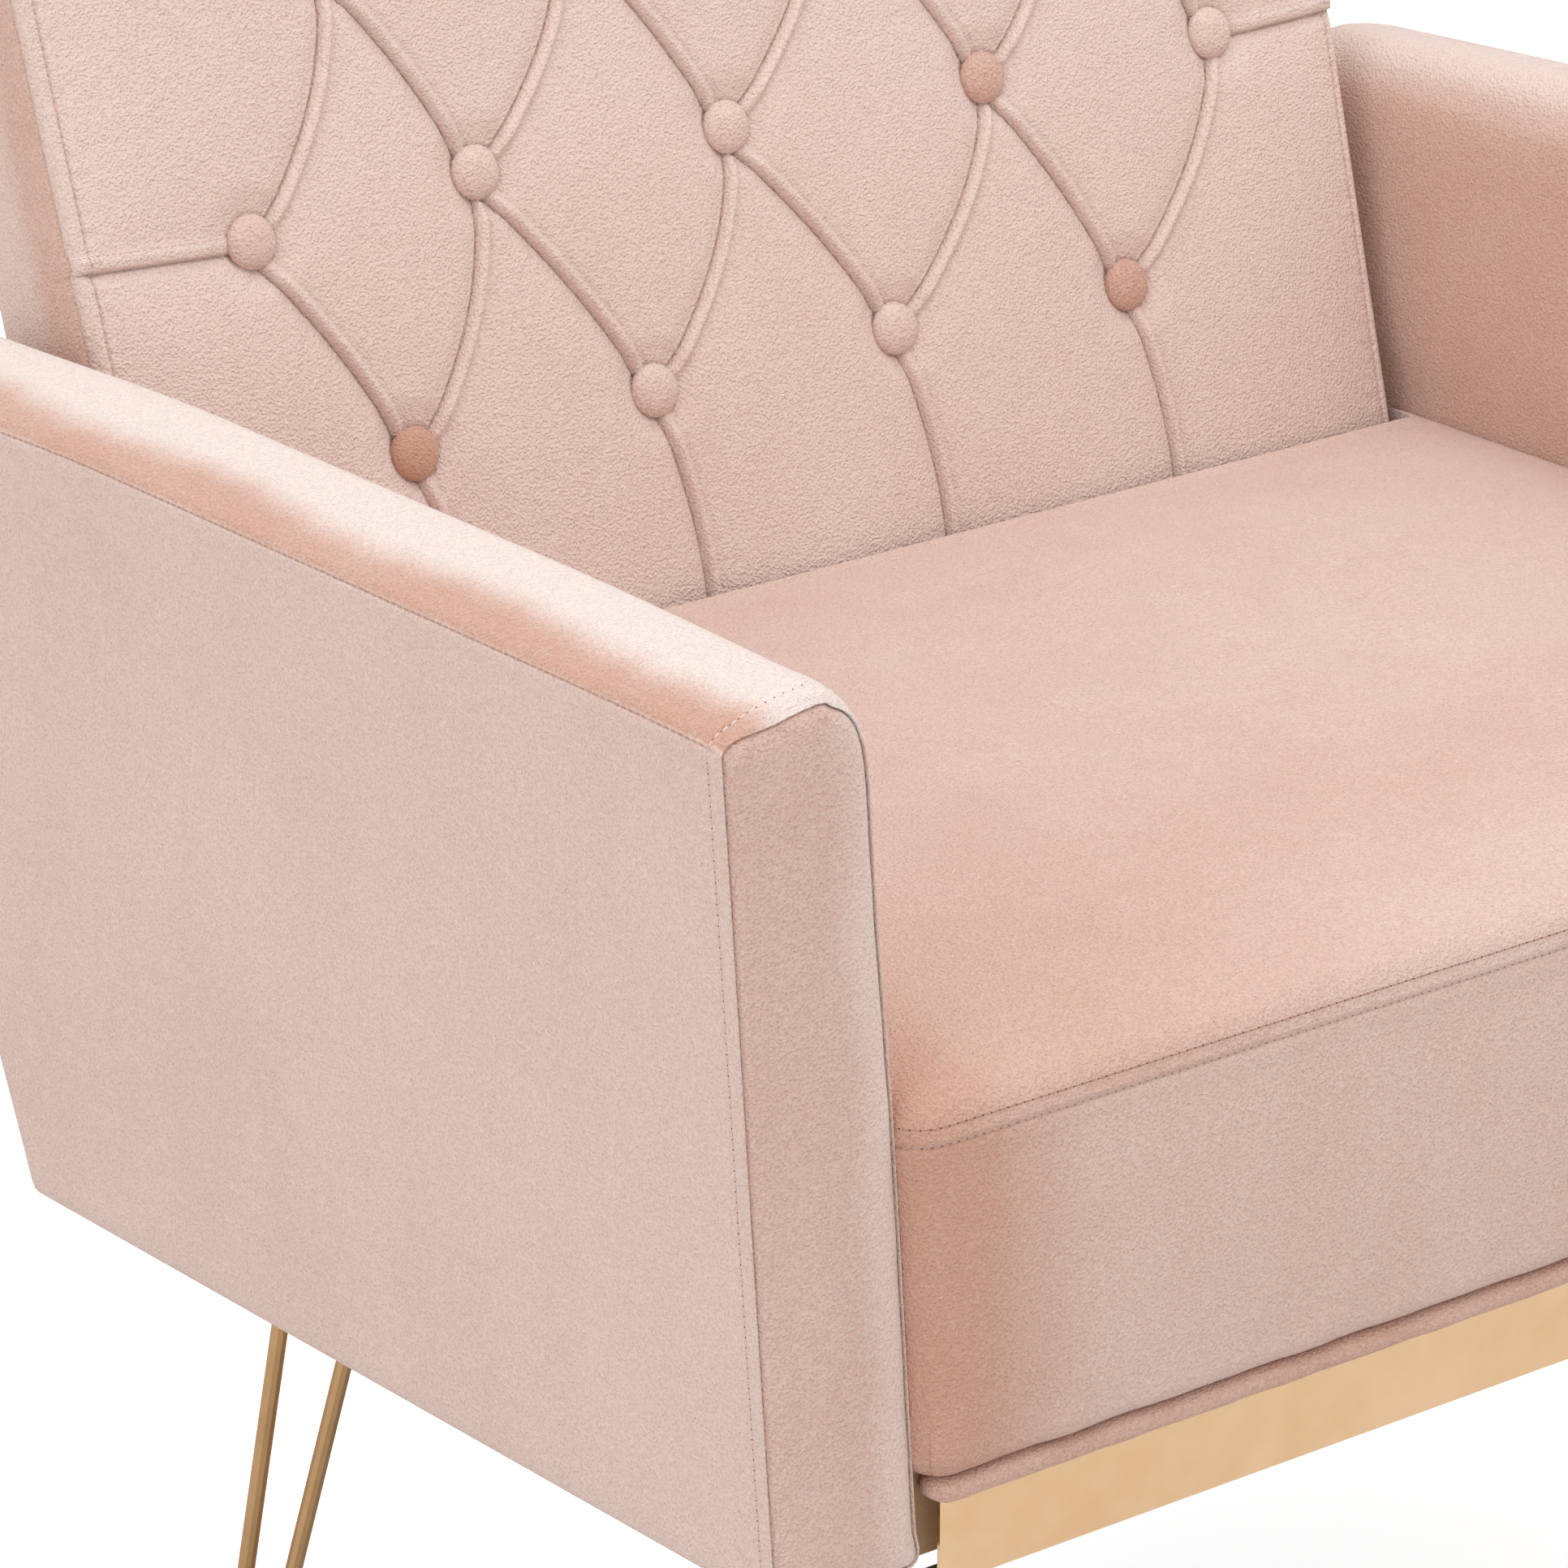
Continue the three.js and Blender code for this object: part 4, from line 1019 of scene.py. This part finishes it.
def build_back():
    # coarse cloth panel pinned along every pleat
    xs, hs = np.linspace(-1, 1, 109), np.linspace(-40, BACK_TOP + 6, 68)
    X = xs[None] * back_half(hs)[:, None]
    H = np.repeat(hs[:, None], len(xs), 1)
    flat = np.stack([X, H], -1).reshape(-1, 2)
    tuck, _, _, _ = tuck_field(flat)
    button = button_field(flat)
    rim, _, _ = polyline_distance(flat, OUTLINE, True)
    inside = np.minimum(tuck, rim)
    pre = -1.5 - 2.0 * (1 - np.exp(-inside / 9.0))
    pin = (1 - smoothstep(inside, 2.5, 6.0))
    pin = np.maximum(pin, 1 - smoothstep(button, 11, 17))
    grid = back_point(flat[:, 0], flat[:, 1], pre).reshape(68, 109, 3)
    move = inflate(grid, pin.reshape(68, 109), pressure=3.4, cap=4.6)
    rise = -(move @ E_D)
    # fine points: rows alongside each pleat, rows inside the edge, and a plain fill
    offsets = (-9, -6.5, -4.6, -3.2, -2.2, -1.5, -1.05, -0.7, -0.35, 0.0, 0.4, 0.9, 1.6, 2.4, 3.3, 4.1, 4.7,
               5.3, 5.9, 6.6, 7.6, 9.5)
    points = []
    for line, _ in TUCKS:
        fine = resample(line, 1.9)
        tangent = unit(np.gradient(fine, axis=0))
        right = np.stack([tangent[:, 1], -tangent[:, 0]], 1)
        for o in offsets:
            points.append(fine + right * o)
    ring_steps = [(11.6, 60), (12.6, 60), (14, 54), (16, 48), (18.5, 44), (21.5, 40), (25, 36)]
    for c in BUTTON_XH.values():
        for r, n in [(9.0, 40), (10.4, 50)] + ring_steps:
            t = np.linspace(0, 2 * math.pi, n, endpoint=False)
            points.append(c + r * np.stack([np.cos(t), np.sin(t)], 1))
    normal_in = unit(np.roll(OUTLINE, -1, 0) - np.roll(OUTLINE, 1, 0))
    normal_in = np.stack([-normal_in[:, 1], normal_in[:, 0]], 1)
    dense_rim = resample(np.concatenate([OUTLINE, OUTLINE[:1]]), 2.0)[:-1]
    rim_in = unit(np.roll(dense_rim, -1, 0) - np.roll(dense_rim, 1, 0))
    rim_in = np.stack([-rim_in[:, 1], rim_in[:, 0]], 1)
    for o in (0.4, 0.9, 1.6, 2.5, 3.6, 4.8, 5.5, 5.9, 6.3, 6.7, 7.4, 8.6, 10.5, 13.0):
        points.append(dense_rim + rim_in * o)
    special = np.concatenate(points)
    gx, gh = np.meshgrid(np.arange(-332, 333, 4.2), np.arange(-146, 376, 4.2))
    gx[::2] += 2.1
    fill = np.stack([gx.ravel(), gh.ravel()], 1)
    tf, _, _, _ = tuck_field(fill)
    keep = (tf > 11) & (button_field(fill) > 27)
    fill = fill[keep]
    # nearer features win where rows of two pleats cross
    all_points = np.concatenate([special, fill])
    cell = np.round(all_points / 0.42).astype(int)
    _, first = np.unique(cell[:, 0] * 100003 + cell[:, 1], return_index=True)
    all_points = all_points[np.sort(first)]
    rim_far, rim_side, _ = polyline_distance(all_points, OUTLINE, True)
    all_points = all_points[(rim_side > 0) & (rim_far > 0.3)]
    n_rim = len(OUTLINE)
    coords = [Vector(p) for p in np.concatenate([OUTLINE, all_points])]
    loop = [(i, (i + 1) % n_rim) for i in range(n_rim)]
    out = delaunay_2d_cdt(coords, loop, [], 1, 1e-4)
    xh = np.array([tuple(v) for v in out[0]])
    tris = [list(f) for f in out[2]]
    centre = xh[np.array([t[:3] for t in tris])].mean(1)
    _, in_side, _ = polyline_distance(centre, OUTLINE, True)
    tris = [t for t, s in zip(tris, in_side) if s > 0]
    # depth of the face
    tuck, signed, along, flat_band = tuck_field(xh)
    button = button_field(xh)
    rim, _, rim_run = polyline_distance(xh, OUTLINE, True)
    inside = np.minimum(tuck, rim)
    d = -1.5 - 2.0 * (1 - np.exp(-inside / 9.0))
    row_at = np.clip((xh[:, 1] - hs[0]) / (hs[1] - hs[0]), 0, len(hs) - 1)
    col_at = np.clip((xh[:, 0] / back_half(xh[:, 1]) + 1) / 2 * (len(xs) - 1), 0, len(xs) - 1)
    r0, c0 = np.floor(row_at).astype(int), np.floor(col_at).astype(int)
    total = np.zeros(len(xh))
    fr, fc = row_at - r0, col_at - c0

    def weights(t):
        return [0.5 * (-t + 2 * t ** 2 - t ** 3), 0.5 * (2 - 5 * t ** 2 + 3 * t ** 3),
                0.5 * (t + 4 * t ** 2 - 3 * t ** 3), 0.5 * (-t ** 2 + t ** 3)]

    for i, wr in enumerate(weights(fr)):
        for j, wc in enumerate(weights(fc)):
            rr = np.clip(r0 + i - 1, 0, len(hs) - 1)
            cc = np.clip(c0 + j - 1, 0, len(xs) - 1)
            total += wr * wc * rise[rr, cc]
    d -= total
    away = smoothstep(button, 11.0, 20.0)
    s = signed
    cord = -2.7 * np.exp(-(np.abs((s - 2.5) / 2.35) ** 3.0))
    crease = 3.2 * np.exp(-(((s + 0.3) / 0.5) ** 2)) + 0.9 * np.exp(-(((s + 2.2) / 2.8) ** 2))
    soft = 0.6 * np.exp(-(((s - 5.9) / 1.2) ** 2))
    band = -1.9 * np.exp(-(np.abs((s - 3.1) / 3.3) ** 6.0)) + 0.7 * np.exp(-(((s - SIDE_BAND) / 0.5) ** 2))
    band += 0.15 * ripple(along, 62, 5.0) * np.exp(-(((s - SIDE_BAND) / 2.0) ** 2))
    pleat = np.where(flat_band, band + 0.7 * crease, cord + crease + soft + 0.07 * ripple(along, 61, 9.0))
    past_end = 1 - smoothstep(tuck - np.abs(signed), 0.0, 0.4)
    d += pleat * (0.8 + 0.2 * away) * past_end
    # button pockets
    d += 2.6 * (1 - smoothstep(button, 10.5, 24.0)) + 1.2 * (1 - smoothstep(button, 10.5, 13.0))
    # edge: rolled over, with the topstitched line inside it
    edge_roll = 5.2 * (1 - np.sqrt(np.maximum(1 - (1 - np.minimum(rim, 5.0) / 5.0) ** 2, 0)))
    d += edge_roll
    side_edge = xh[:, 1] > -60
    d += side_edge * (1.0 * np.exp(-((rim - 6.1) / 0.55) ** 2) - 0.5 * np.exp(-((rim - 3.4) / 1.6) ** 2))
    d -= side_edge * 0.35 * ripple(rim_run, 71, 9.0) * np.exp(-((rim - 9.5) / 4.5) ** 2)
    face = back_point(xh[:, 0], xh[:, 1], d)
    # boxing
    rim_ids = list(range(n_rim))
    steps = np.array([0.5, 1.2, 2.2, 3.4, 5.0, 8.0, 12, 18, 26, 34, 42, 50, 55, 58, 59.6, BACK_DEEP])
    base_d = d[:n_rim]
    outward = -normal_in
    verts = [face]
    rings = [rim_ids]
    total_n = len(face)
    rim_s = np.concatenate([[0], np.cumsum(np.linalg.norm(np.diff(OUTLINE, axis=0), axis=1))])
    for q in steps:
        puff = 2.6 * math.sin(math.pi * q / BACK_DEEP) ** 0.7 - 0.9 * math.exp(-((q - 0.5) / 0.7) ** 2)
        puff_v = puff + 0.4 * ripple(rim_s, 81, 24.0) * math.exp(-((q - 7) / 7) ** 2)
        shrink = -1.5 if q > 59.9 else 0.0
        xy = OUTLINE + outward * np.reshape(puff_v + shrink, (-1, 1))
        verts.append(back_point(xy[:, 0], xy[:, 1], base_d + (BACK_DEEP - base_d) * q / BACK_DEEP))
        rings.append(list(range(total_n, total_n + n_rim)))
        total_n += n_rim
    faces = [t for t in tris]
    for ra, rb in zip(rings[:-1], rings[1:]):
        for i in range(n_rim):
            j = (i + 1) % n_rim
            faces.append([ra[i], rb[i], rb[j], ra[j]])
    faces.append(rings[-1][::-1])
    verts = np.concatenate(verts)
    # which way the face triangles point: out of the chair means towards -E_D
    a, b, c = (face[np.array([t[k] for t in tris])] for k in range(3))
    facing = np.cross(b - a, c - a) @ E_D
    if np.median(facing) > 0:
        faces = [f[::-1] for f in faces[:len(tris)]] + faces[len(tris):]
    pile_and_painted_light = np.full(len(verts), -0.02)
    pile_and_painted_light[:len(xh)] += 0.09 * smoothstep(-xh[:, 1], -120, 20) + 0.12 * smoothstep(xh[:, 1], 230, 300)
    # the boxing is darker beside the seam, partly painted shade by the seam and partly the pile direction
    boxing_depth = np.concatenate([np.full(len(xh), 1e3), np.repeat(steps, n_rim)])
    pile_and_painted_light[len(xh):] = 0.04 + 0.52 * (1 - smoothstep(boxing_depth[len(xh):], 14.0, 34.0))
    # boxed sides hang below the seat no lower than the CAD cover
    low = node_box("back_cover")[0][2]
    verts[:, 2] = np.maximum(verts[:, 2], low)
    back = make("back_upholstery", verts, clean(faces), VELVET, pile_and_painted_light)
    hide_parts("back_cover", "back_foam")
    # stitching: edge line, and the ticks beside the rising pleats
    runs = []
    edge = dense_rim + rim_in * 6.1
    keep = edge[:, 1] > -20
    start = int(np.argmax(keep & ~np.roll(keep, 1)))
    edge = np.roll(edge, -start, 0)[:keep.sum()]
    from_face = nearest_depth(xh, d, edge)
    runs.append((back_point(edge[:, 0], edge[:, 1], from_face - 0.1), np.tile(-E_D, (len(edge), 1))))
    for line, kind in TUCKS:
        fine = resample(line, 1.9)
        fine = fine[button_field(fine) > 13]
        if kind not in ("rising", "side") or len(fine) < 6:
            continue
        tangent = unit(np.gradient(fine, axis=0))
        right = np.stack([tangent[:, 1], -tangent[:, 0]], 1)
        tick = fine + right * (0.25 if kind == "rising" else -SIDE_BAND)
        depth = nearest_depth(xh, d, tick)
        leaning = np.tile(unit(-E_D + [-0.4, 0, 0]), (len(tick), 1))
        runs.append((back_point(tick[:, 0], tick[:, 1], depth), leaning))
    stitches("back_stitching", runs, THREAD, radius=0.33)
    # bar tacks where the side pleats meet the edge
    tacks = []
    for end in (-1, 1):
        for up in np.arange(4.0, 7.0, 0.62):
            x = end * (back_half(MIDDLE_H) - np.linspace(0.8, 11.5, 12))
            row = np.stack([x, np.full(12, MIDDLE_H - 3 + up)], 1)
            depth = nearest_depth(xh, d, row)
            tacks.append((back_point(row[:, 0], row[:, 1], depth - 0.25), np.tile(-E_D, (12, 1))))
    stitches("back_bar_tacks", tacks, TACK_THREAD, pitch=2.0, length=1.7, radius=0.34)
    return xh, d


def nearest_depth(xh, d, points):
    """Depth of the face at the points, from its nearest vertices."""
    out = np.empty(len(points))
    order = np.argsort(xh[:, 0])
    xs = xh[order, 0]
    for i, p in enumerate(points):
        lo, hi = np.searchsorted(xs, (p[0] - 2.5, p[0] + 2.5))
        ids = order[lo:hi]
        gap = np.hypot(*(xh[ids] - p).T)
        near = np.argsort(gap)[:3]
        w = 1 / (gap[near] + 0.05)
        out[i] = (d[ids[near]] * w).sum() / w.sum()
    return out


FACE_XH, FACE_D = build_back()


def build_buttons():
    """Fabric-covered buttons: domed disc, rolled edge, pleated skirt tucked behind."""
    dark = {"lower_button_1": 0.95, "lower_button_4": 0.75, "middle_button_4": 0.6, "middle_button_1": 0.2}
    profile = [(0.0, 6.2), (2.5, 6.1), (5.0, 5.7), (7.2, 5.05), (8.9, 4.2), (10.1, 3.1), (10.8, 1.9),
               (11.0, 0.7), (10.7, -0.4), (9.8, -1.2), (8.0, -1.6), (0.0, -1.7)]
    n = 56
    for name in button_nodes:
        c = BUTTON_XH[name]
        seed = button_nodes.index(name)
        verts, faces = [], []
        t = np.linspace(0, 2 * math.pi, n, endpoint=False)
        base_d = float(np.median(FACE_D[np.hypot(*(FACE_XH - c).T) < 11.5]))
        verts.append(back_point(np.array([c[0]]), np.array([c[1]]), np.array([base_d - profile[0][1]])))
        for r, up in profile[1:-1]:
            wob = 1 + 0.006 * np.sin(3 * t + seed)
            pleat = 0.16 * smoothstep(r, 9.0, 11.0) * np.sin(18 * t + seed) * (1.0 if up < 3.2 else 0.0)
            rr = r * wob + pleat
            verts.append(back_point(c[0] + rr * np.cos(t), c[1] + rr * np.sin(t), np.full(n, base_d - up)))
        verts.append(back_point(np.array([c[0]]), np.array([c[1]]), np.array([base_d - profile[-1][1]])))
        verts = np.concatenate(verts)
        rings = len(profile) - 2
        index = np.arange(rings * n).reshape(rings, n) + 1
        faces += [[0, index[0][(j + 1) % n], index[0][j]] for j in range(n)]
        faces += quads(index, True)
        last = len(verts) - 1
        faces += [[last, index[-1][j], index[-1][(j + 1) % n]] for j in range(n)]
        pile_and_painted_light = np.full(len(verts), 0.12 + dark.get(name, 0.0))
        button = make(name + "_covered", verts, faces, VELVET, pile_and_painted_light)
        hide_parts(name)


build_buttons()


def crown_depth(rim):
    """Depth of the outside back's surface at a distance inside its edge."""
    return BACK_DEEP + 0.6 + 2.8 * (1 - np.exp(-rim / 3.0)) + 2.6 * (1 - np.exp(-rim / 60.0))


def build_outside_back():
    """The back's outer panel: stretched velvet, slightly crowned, with a turned edge."""
    lo, hi = node_box("outside_back_panel")
    low_h = (lo[2] - HINGE[2] - BACK_DEEP * E_D[2]) / E_H[2]
    rows, cols = 90, 110
    v = 0.5 - 0.5 * np.cos(np.pi * np.linspace(0, 1, rows))
    u = 0.5 - 0.5 * np.cos(np.pi * np.linspace(0, 1, cols))
    grid = np.zeros((rows, cols, 2))
    corner = BACK_CORNER
    for i, q in enumerate(v):
        h = low_h + q * (BACK_TOP - low_h)
        half = back_half(h) - 2.5 + 9.5 * smoothstep(-h, 60.0, 120.0)
        short = 0.0
        if h > BACK_TOP - corner:
            short = corner - math.sqrt(max(corner ** 2 - (h - BACK_TOP + corner) ** 2, 0))
        x = (2 * u - 1) * (half - short)
        grid[i, :, 0] = x
        grid[i, :, 1] = h + 12.0 * np.maximum(0, 1 - (x / 290) ** 2) * q ** 6
    ring = grid_ring(rows, cols)
    flat = grid.reshape(-1, 2)
    rim, _, run = polyline_distance(flat, flat[ring], True)
    wave = 0.5 * ripple(run, 91, 30.0) * np.exp(-rim / 12.0)
    d_out = crown_depth(rim) + wave * (1 - np.exp(-rim / 2))
    d_out -= 0.9 * np.exp(-((rim - 7.0) / 0.9) ** 2)
    outer = back_point(flat[:, 0], flat[:, 1], d_out)
    inner = back_point(flat[:, 0], flat[:, 1], np.full(len(flat), BACK_DEEP + 0.3))
    index = np.arange(len(flat)).reshape(rows, cols)
    faces = [f[::-1] for f in quads(index)]
    faces += [[i + len(flat) for i in f] for f in quads(index)]
    n = len(ring)
    for i in range(n):
        here, there = ring[i], ring[(i + 1) % n]
        faces.append([here, there, there + len(flat), here + len(flat)])
    verts = np.concatenate([outer, inner])
    verts[:, 2] = np.maximum(verts[:, 2], lo[2])
    panel = make("outside_back_velvet", verts, faces, VELVET, np.full(len(verts), 0.16))
    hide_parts("outside_back_panel")
    edge = flat[ring]
    line = resample(np.concatenate([edge, edge[:1]]), 3.0)
    along = unit(np.gradient(line, axis=0))
    line = line + np.stack([-along[:, 1], along[:, 0]], 1) * 7.0
    sunk = np.full(len(line), crown_depth(7.0) - 0.75)
    runs = [(back_point(line[:, 0], line[:, 1], sunk), np.tile(E_D, (len(line), 1)))]
    stitches("outside_back_stitching", runs, THREAD)


build_outside_back()


def build_lip():
    """Padded fabric roll under the seat's front edge."""
    lo, hi = node_box("front_lip")
    ends = np.array([0, 0.5, 1.5, 3.0, 5.0, 7.5])
    stations = np.concatenate([lo[0] + ends, np.linspace(lo[0] + 11, hi[0] - 11, 260), hi[0] - ends[::-1]])
    n = 22
    t = np.linspace(0, 2 * math.pi, n, endpoint=False)
    cy, cz = (lo[1] + hi[1]) / 2, (lo[2] + hi[2]) / 2
    ry, rz = (hi[1] - lo[1]) / 2, (hi[2] - lo[2]) / 2
    rings = []
    for x in stations:
        end = min(x - lo[0], hi[0] - x)
        k = math.sqrt(max(0.0, 1 - (1 - min(end, 7.5) / 7.5) ** 2)) * 0.97 + 0.03
        c, s = np.cos(t), np.sin(t)
        p = 0.72
        wr = 1 + 0.012 * ripple(x, 101, 9.0) + 0.03 * ripple(x, 102, 31.0)
        y = cy + ry * k * wr * np.sign(c) * abs(c) ** p
        z = cz + rz * k * wr * np.sign(s) * abs(s) ** p
        rings.append(np.column_stack([np.full(n, x), y, z]))
    verts = np.concatenate(rings)
    index = np.arange(len(verts)).reshape(len(rings), n)
    faces = [f[::-1] for f in quads(index, True)]
    faces += [index[0].tolist(), index[-1][::-1].tolist()]
    lip = make("front_lip_roll", verts, faces, VELVET, np.full(len(verts), 0.75))
    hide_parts("front_lip")


build_lip()

# ------------------------------------------------------ carried-over nodes
def shade(obj, angle):
    """Smooth shading with edges sharper than the angle kept crisp."""
    mesh = obj.data
    mesh.polygons.foreach_set("use_smooth", [True] * len(mesh.polygons))
    mesh.set_sharp_from_angle(angle=math.radians(angle))


# slot of a CAD node by a word in its name
NODE_SLOTS = (("rail", "timber"), ("post", "timber"), ("block", "timber"), ("panel", "timber"),
              ("spring", "spring_steel"), ("burlap", "burlap"), ("trim", "polished_trim"),
              ("rod", "satin_gold"), ("plate", "satin_gold"), ("bolt", "spring_steel"), ("cap", "rubber"),
              ("dust_cover", "dust_cloth"))
for name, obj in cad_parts.items():
    if obj.hide_render:
        continue
    slot_name = next((slot for word, slot in NODE_SLOTS if word in name), "velvet")
    obj.data.materials.clear()
    obj.data.materials.append(SLOT_LOOKS[slot_name])
    shade(obj, 40)

# ---------------------------------------------------------- floor and light
floor_mesh = bpy.data.meshes.new("floor")
REACH = 14.0
FLOOR_BOUNCE = (0.68, 0.68, 0.68)
floor_mesh.from_pydata([(-REACH, -REACH, 0), (REACH, -REACH, 0), (REACH, REACH, 0), (-REACH, REACH, 0)], [],
                       [(0, 1, 2, 3)])
floor = bpy.data.objects.new("floor", floor_mesh)
bpy.context.scene.collection.objects.link(floor)
floor_look, floor_tree, floor_shader, floor_coord = new_material("floor")
floor_tone = remap(floor_tree, noise(floor_tree, floor_coord, 2.0, 3.0), 0.3, 0.7, 0.93, 0.96)
link(floor_tree, floor_tone, floor_shader.inputs["Base Color"])
floor_shader.inputs["Roughness"].default_value = 0.9
floor_shader.inputs["Specular IOR Level"].default_value = 0.0
floor_shader.inputs["Emission Color"].default_value = (1.0, 1.0, 1.0, 1.0)
floor_shader.inputs["Emission Strength"].default_value = 0.55
grey_floor = floor_tree.nodes.new("ShaderNodeBsdfDiffuse")
grey_floor.inputs["Color"].default_value = (*FLOOR_BOUNCE, 1.0)
seen = floor_tree.nodes.new("ShaderNodeLightPath")
floor_mix = floor_tree.nodes.new("ShaderNodeMixShader")
link(floor_tree, seen.outputs["Is Camera Ray"], floor_mix.inputs[0])
link(floor_tree, grey_floor.outputs[0], floor_mix.inputs[1])
link(floor_tree, floor_shader.outputs[0], floor_mix.inputs[2])
link(floor_tree, floor_mix.outputs[0], floor_tree.nodes["Material Output"].inputs["Surface"])
floor_mesh.materials.append(floor_look)

world = bpy.data.worlds.new("studio")
bpy.context.scene.world = world
world.use_nodes = True
background = world.node_tree.nodes["Background"]
background.inputs["Color"].default_value = (1.0, 1.0, 1.0, 1.0)
background.inputs["Strength"].default_value = 1.0


def area_light(name, at, towards, size, power):
    data = bpy.data.lights.new(name, "AREA")
    data.shape = "RECTANGLE"
    data.size, data.size_y = size
    data.energy = power
    lamp = bpy.data.objects.new(name, data)
    bpy.context.scene.collection.objects.link(lamp)
    lamp.location = at
    lamp.rotation_euler = (Vector(towards) - Vector(at)).to_track_quat("-Z", "Y").to_euler()
    return lamp


area_light("key", (0.3, -0.6, 3.2), (0.0, 0.0, 0.4), (2.6, 2.2), 29.0)
area_light("left_fill", (-3.2, -0.8, 1.7), (0.0, 0.0, 0.45), (2.0, 2.2), 18.0)
scene = bpy.context.scene
scene.view_settings.view_transform = "Standard"
scene.view_settings.look = "None"
scene.view_settings.exposure = 0.0
